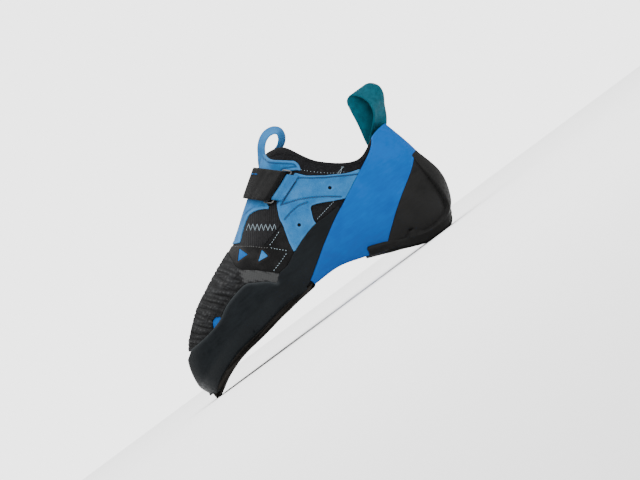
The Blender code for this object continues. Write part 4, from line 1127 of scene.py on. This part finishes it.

# %% [markdown]
# Strap, the ring's suede tab and the loops are ribbons. Each ribbon is a closed grid: one way
# along its path, the other way once round its flat cross-section, which has rounded edges. UVs
# in millimetres let the weave run true to the tape, however it twists.

# %% Ribbon maker
def ribbon(name, material, paths, thickness, edge_round=0.5):
    """A woven tape or strip through paths that run side by side."""
    paths = np.asarray(paths, float)
    count, length = paths.shape[:2]
    run = np.gradient(paths, axis=1)
    width = np.gradient(paths, axis=0)
    normal = np.cross(run, width)
    normal /= np.linalg.norm(normal, axis=2)[..., None]
    around = list(range(count)) + list(range(count - 1, -1, -1))
    sign = np.array([1.0] * count + [-1.0] * count)
    reach = np.linalg.norm(paths[-1] - paths[0], axis=1).mean()
    shape, spots = unit_grid(length - 1, 2 * count)
    column = np.round(spots[:, 0] * (length - 1)).astype(int)
    row = np.round(spots[:, 1] * 2 * count).astype(int) % (2 * count)
    across = np.array(around)[row]
    place = np.minimum(across, count - 1 - across) / (count - 1) * reach
    slim = np.sqrt(1 - (1 - unit(place / (edge_round * thickness))) ** 2 * 0.84)
    rise = thickness / 2 * sign[row] * slim
    along_mm = np.concatenate([[0], np.cumsum(np.linalg.norm(
        np.diff(paths[count // 2], axis=0), axis=1))]) / MM
    points = paths[across, column] + normal[across, column] * rise[:, None]
    tag = shape.verts.layers.float_vector.new("tape")
    for vertex, point, a, c, g in zip(shape.verts, points, across, column, sign[row]):
        vertex.co = point
        vertex[tag] = (a / (count - 1) * reach / MM, along_mm[c], g)
    bmesh.ops.remove_doubles(shape, verts=shape.verts, dist=0.000008)
    close_up(shape)
    uv = shape.loops.layers.uv.new("tape")
    tag = shape.verts.layers.float_vector["tape"]
    for face in shape.faces:
        for loop in face.loops:
            loop[uv].uv = loop.vert[tag][:2]
    thing = finish_mesh(name, shape, material)
    print(name, len(thing.data.polygons), "faces, width", round(reach, 4))
    return thing


# %% [markdown]
# The strap runs from the inner side over the ridge, through a steel ring and back over itself.
# Its place is found by turning about a hub inside the foot and shooting a ray out to the
# last, so it lies on the shoe as tape does, and the ring and its suede tab use the same frame.

# %% Where strap and ring lie
def last_tree():
    points, faces = [], []
    for k in (0, 1):
        grid = LAST[k, ::3, ::3]
        rows, columns = grid.shape[:2]
        base = len(points)
        points += [Vector(point) for point in grid.reshape(-1, 3)]
        for i in range(rows - 1):
            for j in range(columns - 1):
                a = base + i * columns + j
                faces.append([a, a + columns, a + columns + 1, a + 1])
    return BVHTree.FromPolygons(points, faces)


TREE = last_tree()
STRAP_WIDTH, RING_WIRE, RING_SPAN, RING_OVERHANG = 25.5 * MM, 2.0 * MM, 6.4 * MM, 3.0 * MM
TAB_LENGTH, TAB_INSET, HUB_DEPTH = 7.0 * MM, 2.0 * MM, 46 * MM
LEAN = math.radians(45)
RUN = Vector((math.cos(LEAN), 0.0, math.sin(LEAN)))
OUT = Vector((-math.sin(LEAN), 0.0, math.cos(LEAN)))
TURN_FRONT, TURN_REAR, TURN_END = map(math.radians, (38, 55, 30))
FOLD = RING_WIRE / 2 + 1.6 * GAP + WEBBING / 2
TAB_FOLD = RING_WIRE / 2 + 1.6 * GAP + SUEDE / 2
STRAP_BED = GAP + SUEDE + 3 * GAP + WEBBING / 2
PLY_RISE, TAB_BED = WEBBING + GAP, GAP + SUEDE / 2
STRAP_SPOT = side_view([(0.460, 0.873)])[0]


def over_last(across, turn, height):
    hub = Vector((STRAP_SPOT[0], 0, STRAP_SPOT[1])) - OUT * HUB_DEPTH + RUN * across
    direction = OUT * math.cos(turn) + Vector((0, 1, 0)) * math.sin(turn)
    hit = TREE.ray_cast(hub, direction)
    lean = max(0.7, abs(hit[1].dot(direction)))
    return hub + direction * (hit[3] + height / lean)


def ring_turn(across):
    return -(TURN_FRONT + (TURN_REAR - TURN_FRONT) * across / STRAP_WIDTH)


def down_from_ring(across, distance, height=0.0):
    start = over_last(across, ring_turn(across), 0.0)
    step = (over_last(across, ring_turn(across) - 0.1, 0.0) - start).length
    return over_last(across, ring_turn(across) - 0.1 * distance / step, height)


def ring_frame():
    down = Vector()
    for share in (0, 1 / 3, 2 / 3, 1):
        start = down_from_ring(share * STRAP_WIDTH, -RING_SPAN / 2)
        down += (down_from_ring(share * STRAP_WIDTH, RING_SPAN + TAB_LENGTH) - start).normalized()
    down = (down - RUN * down.dot(RUN)).normalized()
    outward = RUN.cross(down)
    return (outward if outward.y < 0 else -outward), down


RING_OUT, RING_DOWN = ring_frame()


def straight_place(across, distance, height):
    """Beside the ring, on a straight line between the places at the strap's two edges."""
    share = across / STRAP_WIDTH
    ends = [down_from_ring(edge, distance) for edge in (0.0, STRAP_WIDTH)]
    own = down_from_ring(across, distance)
    flat = ends[0].lerp(ends[1], share)
    return own.lerp(flat, 0.6) + RING_OUT * height


def half_turn(centre, onward, radius, steps):
    angles = [math.pi * number / steps for number in range(1, steps)]
    return [centre - RING_OUT * (radius * math.cos(angle)) + onward * (radius * math.sin(angle))
            for angle in angles]


def refined(points, steps):
    points = np.array([tuple(point) for point in points])
    return read_line(points, np.arange((len(points) - 1) * steps + 1) / steps)


def strap_path(across, steps=9):
    turns = [-ring_turn(across) * n / steps for n in range(steps, -steps, -1)]
    under = [over_last(across, turn, STRAP_BED) for turn in turns]
    under.append(straight_place(across, 0.0, STRAP_BED))
    fold = half_turn(under[-1] + RING_OUT * FOLD, RING_DOWN, FOLD, 8)
    over = [straight_place(across, 0.0, STRAP_BED + 2 * FOLD)]
    beyond = [TURN_END * n / 4 for n in range(1, 5)]
    for number, turn in enumerate(turns[:steps - 1:-1] + beyond):
        lift = (2 * FOLD - PLY_RISE) * max(0.0, 0.62 - number * 0.20)
        over.append(over_last(across, turn, STRAP_BED + PLY_RISE + lift))
    return refined(under + fold + over, 4)


def tab_path(across, steps=6):
    over = []
    for number in range(steps):
        share = number / (steps - 1)
        height = float(blend(TAB_BED + GAP + SUEDE, TAB_BED + 2 * TAB_FOLD, (share - 0.45) / 0.5))
        over.append(straight_place(across, RING_SPAN + TAB_LENGTH * (1 - share), height))
    start = straight_place(across, RING_SPAN, TAB_BED)
    fold = half_turn(start + RING_OUT * TAB_FOLD, -RING_DOWN, TAB_FOLD, 8)
    return refined(over + fold[::-1] + [start, straight_place(
        across, RING_SPAN + TAB_LENGTH / 4, TAB_BED)], 4)


shares = np.linspace(0, 1, 18)
strap = ribbon("strap_tape", black_weave, [strap_path(share * STRAP_WIDTH) for share in shares],
               WEBBING)
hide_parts("strap")
tab_span = STRAP_WIDTH - 2 * TAB_INSET
tab = ribbon("ring_fold", blue_suede, [tab_path(TAB_INSET + share * tab_span)
                                       for share in shares], SUEDE, 0.9)
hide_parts("ring_tab")

# %% [markdown]
# The ring is bent wire. A curve object would do, but a mesh is what the others are, so a
# circle is carried along the ring's axis: one bar in the strap's fold, one in the tab's.
# Both pull loops are ribbons again, each along a line that stands on the side view.

# %% Ring and pull loops
def wire(name, material, line, radius, sides=12, closed=True):
    line = np.asarray(line, float)
    count = len(line)
    run = np.roll(line, -1, axis=0) - np.roll(line, 1, axis=0) if closed \
        else np.gradient(line, axis=0)
    run /= np.linalg.norm(run, axis=1)[:, None]
    first = np.cross(run, np.array([0.31, 0.92, 0.23]))
    first /= np.linalg.norm(first, axis=1)[:, None]
    second = np.cross(run, first)
    shape = bmesh.new()
    bmesh.ops.create_grid(shape, x_segments=count if closed else count - 1, y_segments=sides,
                          size=0.5)
    for vertex in shape.verts:
        u, v = vertex.co[0] + 0.5, vertex.co[1] + 0.5
        i = round(u * (count if closed else count - 1)) % count
        angle = v * math.tau
        vertex.co = line[i] + radius * (first[i] * math.cos(angle) + second[i] * math.sin(angle))
    bmesh.ops.remove_doubles(shape, verts=shape.verts, dist=0.000005)
    close_up(shape)
    return finish_mesh(name, shape, material)


def ring_line():
    bars = []
    for inset, distance, height in ((0.0, 0.0, STRAP_BED + FOLD),
                                    (TAB_INSET, RING_SPAN, TAB_BED + TAB_FOLD)):
        span = STRAP_WIDTH - 2 * inset
        bar = [straight_place(inset + share * span, distance, height)
               for share in (0, 1 / 3, 2 / 3, 1)]
        front = (bar[0] - bar[1]).normalized() * (inset + 0.35 * RING_OVERHANG)
        rear = (bar[-1] - bar[-2]).normalized() * (inset + 0.35 * RING_OVERHANG)
        bars.append([bar[0] + front] + bar + [bar[-1] + rear])
    upper, lower = bars
    line = []
    for bar, other in ((upper, lower), (lower[::-1], upper[::-1])):
        inner = bar[0].lerp(bar[1], 0.35), bar[-1].lerp(bar[-2], 0.35)
        line += [bar[0].lerp(other[0], 0.18), inner[0]] + bar[1:-1]
        line += [inner[1], bar[-1].lerp(other[-1], 0.18)]
    points = np.array([tuple(point) for point in line])
    return read_loop(points, np.arange(len(points) * 8) / 8)


ring = wire("ring_wire", steel, ring_line(), RING_WIRE * 0.3)
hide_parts("strap_ring")
HEEL_LOOP = ((-.0113, -.010, 60), (-.0109, -.0027, 62), (-.0075, .0127, 62), (-.0054, .0261, 62),
    (-.0039, .0320, 64), (-.0006, .0348, 68), (.0036, .0337, 70), (.0080, .0281, 64),
    (.0085, .0209, 50), (.0054, .0132, 38), (.0005, .0058, 48), (-.0045, .0005, 62),
    (-.0088, -.0041, 65), (-.0098, -.011, 62))
FRONT_LOOP = ((-.0090, -.0150, 30), (-.0080, -.0089, 33), (-.0057, -.0037, 34),
    (-.0022, .0016, 34), (.0015, .0069, 34), (.0062, .0109, 35), (.0116, .0128, 36),
    (.0170, .0120, 36), (.0202, .0089, 34), (.0199, .0047, 33), (.0174, .0010, 30),
    (.0135, -.0015, 24), (.0090, -.0021, 14), (.0038, -.0018, 6))


def loop_paths(root, rows, width, count=14, steps=10, flare=False):
    start = side_view([root])[0]
    line = refined(rows, steps)
    twist = np.radians(line[:, 2])[:, None]
    middle = np.stack([start[0] + line[:, 0], 0 * line[:, 0], start[1] + line[:, 1]], axis=1)
    run = np.gradient(middle, axis=0)
    run /= np.linalg.norm(run, axis=1)[:, None]
    aside = run[:, [2, 1, 0]] * [-1, 0, 1] if flare else np.array([[1.0, 0.0, 0.0]])
    across = aside * np.sin(twist) + np.array([[0.0, 1.0, 0.0]]) * np.cos(twist)
    return [middle + across * width * (share - 0.5) for share in np.linspace(0, 1, count)]


heel_loop = ribbon("heel_tape", teal_weave, loop_paths((0.960, 0.716), HEEL_LOOP, 19 * MM),
                   WEBBING)
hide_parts("heel_pull_loop")
front_loop = ribbon("front_finger_loop", blue_suede,
                    loop_paths((0.600, 0.998), FRONT_LOOP, 11 * MM, flare=True), SUEDE, 0.9)
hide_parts("front_pull_loop")

# %% [markdown]
# Between saddle and toe a ribbed elastic window lets the shoe stretch open. It lies under its
# neighbours, so its outline is drawn a little larger than the gap it fills. The triangular
# openings in the vamp show suede insets, and a small crescent in the toe patch shows blue.

# %% Elastic window and insets
stretch_line = pattern(seam(VAMP_TOP), seam(SIDE_FRONT, 0, 3)[::-1],
                       seam(TONGUE_EDGE, 2, 9)[::-1], seam(TONGUE_EDGE, 0, 3)[::-1])
LEAN_COS, LEAN_SIN, RIB_PITCH = 0.803, 0.596, 1.5 * MM


def rib_place(base):
    """Counts the elastic's ribs along the line that crosses them."""
    return (base[:, 0] * LEAN_COS - base[:, 2] * LEAN_SIN) / RIB_PITCH


def stretch_ribs(base, side, s, t, edge):
    return 0.13 * MM * np.sin(rib_place(base) * math.tau)


def stretch_painted_shading(base, edge):
    # Lighter on the tops of the ribs and darker between them: painted highlight and painted shade.
    return 0.02 + 0.22 * np.sin(rib_place(base) * math.tau)


window = lay_panel("stretch_window", black_elastic, within(stretch_line, -1.4 * MM), 0.25 * MM,
                   (70, 90), (4.4, 7.0), (1.8, 3), relief=stretch_ribs, tint=stretch_painted_shading)
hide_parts("upper")
for name, corners, finish, rise in (("inset_first", triangles[0], bright_inset, 0.55 * MM),
                                    ("inset_second", triangles[1], pale_inset, 0.75 * MM),
                                    ("toe_crescent", crescent, blue_rubber, 0.55 * MM)):
    sides = (-1,) if name == "toe_crescent" else (-1, 1)
    inset = lay_panel(name, finish, within(corners, -0.8 * MM), rise, (70, 90),
                      (0.8, 3.2) if name == "toe_crescent" else (4, 6.6), (1, 3), sides=sides,
                      radius=0.2 * MM)
    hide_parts("toe_patch" if name == "toe_crescent" else "vamp_panel")

# %% [markdown]
# Thread is what makes sewn panels read as sewn. Each stitch is a small capsule laid on the
# surface: a ray from the side finds the panel's face, and the stitches follow at even steps.
# The zigzag over the elastic is one thread, so it is a bent wire instead.

# %% Threads
def surface_of(*things):
    points, faces = [], []
    for thing in things:
        base = len(points)
        points += [vertex.co.copy() for vertex in thing.data.vertices]
        faces += [[base + corner for corner in polygon.vertices]
                  for polygon in thing.data.polygons]
    return BVHTree.FromPolygons(points, faces)


def dropped(tree, spots, side, height):
    """Places of the side view carried onto a surface."""
    found = []
    for x, z in spots:
        hit = tree.ray_cast(Vector((x, side * 0.2, z)), Vector((0, -side, 0)))
        if hit[0] is not None:
            normal = hit[1] if hit[1].y * side > 0 else -hit[1]
            found.append((hit[0] + normal * height, normal))
    return found


def side_line_of(rows, steps=24):
    flat = measured(rows)
    return read_line(flat, np.linspace(0, len(flat) - 1, (len(flat) - 1) * steps + 1))


def stitches(name, material, tree, lines, node, sides=(-1, 1), step=2.3 * MM,
             length=1.4 * MM, thick=0.24 * MM):
    shape = bmesh.new()
    for side in sides:
        for rows in lines:
            found = dropped(tree, side_line_of(rows), side, thick * 0.35)
            spots = np.array([tuple(spot) for spot, _ in found])
            way = np.concatenate([[0], np.cumsum(np.linalg.norm(np.diff(spots, axis=0), axis=1))])
            for place in np.arange(step / 2, way[-1], step):
                number = min(int(np.searchsorted(way, place)), len(found) - 1)
                spot, normal = found[number]
                ahead = found[min(number + 1, len(found) - 1)][0]
                run = (ahead - found[max(number - 1, 0)][0]).normalized()
                across = run.cross(normal).normalized()
                frame_of = Matrix((run * length / 2, across * thick, normal * thick)).transposed()
                frame_of = frame_of.to_4x4()
                frame_of.translation = spot
                bmesh.ops.create_uvsphere(shape, u_segments=8, v_segments=5, radius=1.0,
                                          matrix=frame_of)
    bmesh.ops.recalc_face_normals(shape, faces=shape.faces)
    thing = finish_mesh(name, shape, material)
    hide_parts(node)
    print(name, len(thing.data.polygons), "faces")
    return thing


front_tree = surface_of(vamp, window, patch)
stitches("vamp_top_stitches", grey_thread, front_tree,
         [((86.5, 89.8), (97.4, 81.8), (106.5, 73.6), (109.0, 72.6))],
         "vamp_panel", thick=0.25 * MM)
sock_tree = surface_of(bpy.data.objects["upper_sock"], vamp, window)
stitches("vamp_side_stitches", white_thread, sock_tree,
         [((123.2, 77.6), (115.9, 74.9), (109.6, 73.0)),
          ((109.5, 71.6), (114.2, 66.6), (119.2, 61.4)),
          ((118.1, 60.4), (109.6, 57.6), (101.2, 55.2))], "vamp_panel")
stitches("mesh_window_stitches", white_thread, surface_of(bpy.data.objects["upper_sock"]),
         [((152.4, 67.4), (161.9, 69.1), (172.2, 70.9))], "upper",
         step=2.0 * MM, length=1.3 * MM)
stitches("collar_stitches", white_thread,
         surface_of(bpy.data.objects["upper_sock"], bpy.data.objects["collar_elastic"]),
         [((165.2, 107.6), (171.8, 100.6), (183.3, 90.4), (193.4, 84.2))],
         "upper", step=2.6 * MM, length=0.9 * MM, thick=0.22 * MM)
stitches("bar_tack", white_thread,
         surface_of(bpy.data.objects["upper_sock"], bpy.data.objects["collar_elastic"]),
         [((187.4, 86.4), (189.6, 87.6), (194.6, 88.4)),
          ((187.8, 85.2), (190.8, 86.6), (194.2, 89.8))],
         "upper", step=1.1 * MM, length=1.0 * MM, thick=0.25 * MM)
quarters = [bpy.data.objects["quarter_outer"], bpy.data.objects["quarter_inner"]]
stitches("quarter_stitches", navy_thread, surface_of(*quarters),
         [tuple(map(tuple, (line + [HEEL_REST, 0]) / MM)) for line in QUARTER_SEAMS],
         "side_panel_outer", step=1.9 * MM, length=1.3 * MM, thick=0.26 * MM)


def zigzag(name, side):
    start, end = np.array((104.1, 95.9)), np.array((123.2, 81.3))
    across = np.array((LEAN_SIN, LEAN_COS)) * 2.6
    count = 14
    line = [start + (end - start) * n / count + across * (1 if n % 2 else -1)
            for n in range(count + 1)]
    spots = np.vstack([np.linspace(a, b, 6)[:-1] for a, b in zip(line, line[1:])])
    found = dropped(surface_of(window), measured(spots), side, 0.2 * MM)
    thing = wire(name, white_thread, [tuple(spot) for spot, _ in found], 0.17 * MM, 6, False)
    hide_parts("upper")


zigzag("zigzag_outer", -1)
zigzag("zigzag_inner", 1)
stitches("strap_bar", bright_inset, surface_of(strap), [((132.4, 128.0), (136.2, 124.6))],
         "strap", sides=(-1,), step=4.8 * MM, length=4.6 * MM, thick=0.5 * MM)

# %% [markdown]
# Camera, floor and light. The photograph looks square at the outer side, through a long lens,
# with the shoe rolled toe down in the picture. A shoe has to stand on its sole here, so the
# camera is rolled instead. A big soft light from above gives the plain studio look.

# %% Camera, floor and light
ROLL = math.radians(36.6)
SENSOR, DISTANCE, VIEW_WIDTH = 36.0, 3.0, 0.512
CENTRE_X, CENTRE_Z = -0.0801, 0.0529
cam_data = bpy.data.cameras.new("camera")
cam_data.sensor_width = SENSOR
cam_data.lens = SENSOR * DISTANCE / VIEW_WIDTH
camera = bpy.data.objects.new("camera", cam_data)
bpy.context.scene.collection.objects.link(camera)
right = Vector((math.cos(ROLL), 0, -math.sin(ROLL)))
upward = Vector((math.sin(ROLL), 0, math.cos(ROLL)))
camera.matrix_world = Matrix((
    (right.x, upward.x, 0.0, CENTRE_X), (right.y, upward.y, -1.0, -DISTANCE),
    (right.z, upward.z, 0.0, CENTRE_Z), (0, 0, 0, 1)))
cam_data.clip_end = 60
bpy.context.scene.camera = camera

floor_mesh = bpy.data.meshes.new("floor")
shape = bmesh.new()
bmesh.ops.create_grid(shape, x_segments=1, y_segments=1, size=3.5)
bmesh.ops.translate(shape, verts=shape.verts, vec=(0.0, -2.6, 0.0))
shape.to_mesh(floor_mesh)
shape.free()
floor = bpy.data.objects.new("floor", floor_mesh)
bpy.context.scene.collection.objects.link(floor)
floor_paint, tree, shader = new_finish("pale_floor", 0.9)
coloured(tree, shader, shades(tree, noise(tree, 1.5, 2), (0.3, (.93, .93, .93)),
                              (0.7, (.95, .95, .95))))
floor_mesh.materials.append(floor_paint)


def soft_light(name, place, aim, size, power):
    data = bpy.data.lights.new(name, "AREA")
    data.size = size
    data.energy = power
    light = bpy.data.objects.new(name, data)
    bpy.context.scene.collection.objects.link(light)
    light.location = place
    light.rotation_euler = (Vector(aim) - Vector(place)).to_track_quat("-Z", "Y").to_euler()


soft_light("softbox_above", (0.0, -0.2, 3.0), (0.0, -0.2, 0.0), 5.0, 420)
soft_light("key", (0.9, -1.8, 1.5), (-0.08, 0, 0.06), 0.9, 26)
soft_light("front_fill", (-1.8, -1.5, 0.5), (-0.08, 0, 0.06), 1.2, 7)
world = bpy.data.worlds.new("studio")
world.use_nodes = True
tree = world.node_tree
sky = tree.nodes["Background"]
sky.inputs[0].default_value = (1.0, 1.0, 1.0, 1.0)
seen = step_of(tree, "ShaderNodeLightPath").outputs["Is Camera Ray"]
lit, extra_seen = 0.55, 2.9
glow = step_of(tree, "ShaderNodeMath", {0: seen, 1: extra_seen, 2: lit}, operation="MULTIPLY_ADD")
tree.links.new(glow.outputs[0], sky.inputs[1])
bpy.context.scene.world = world
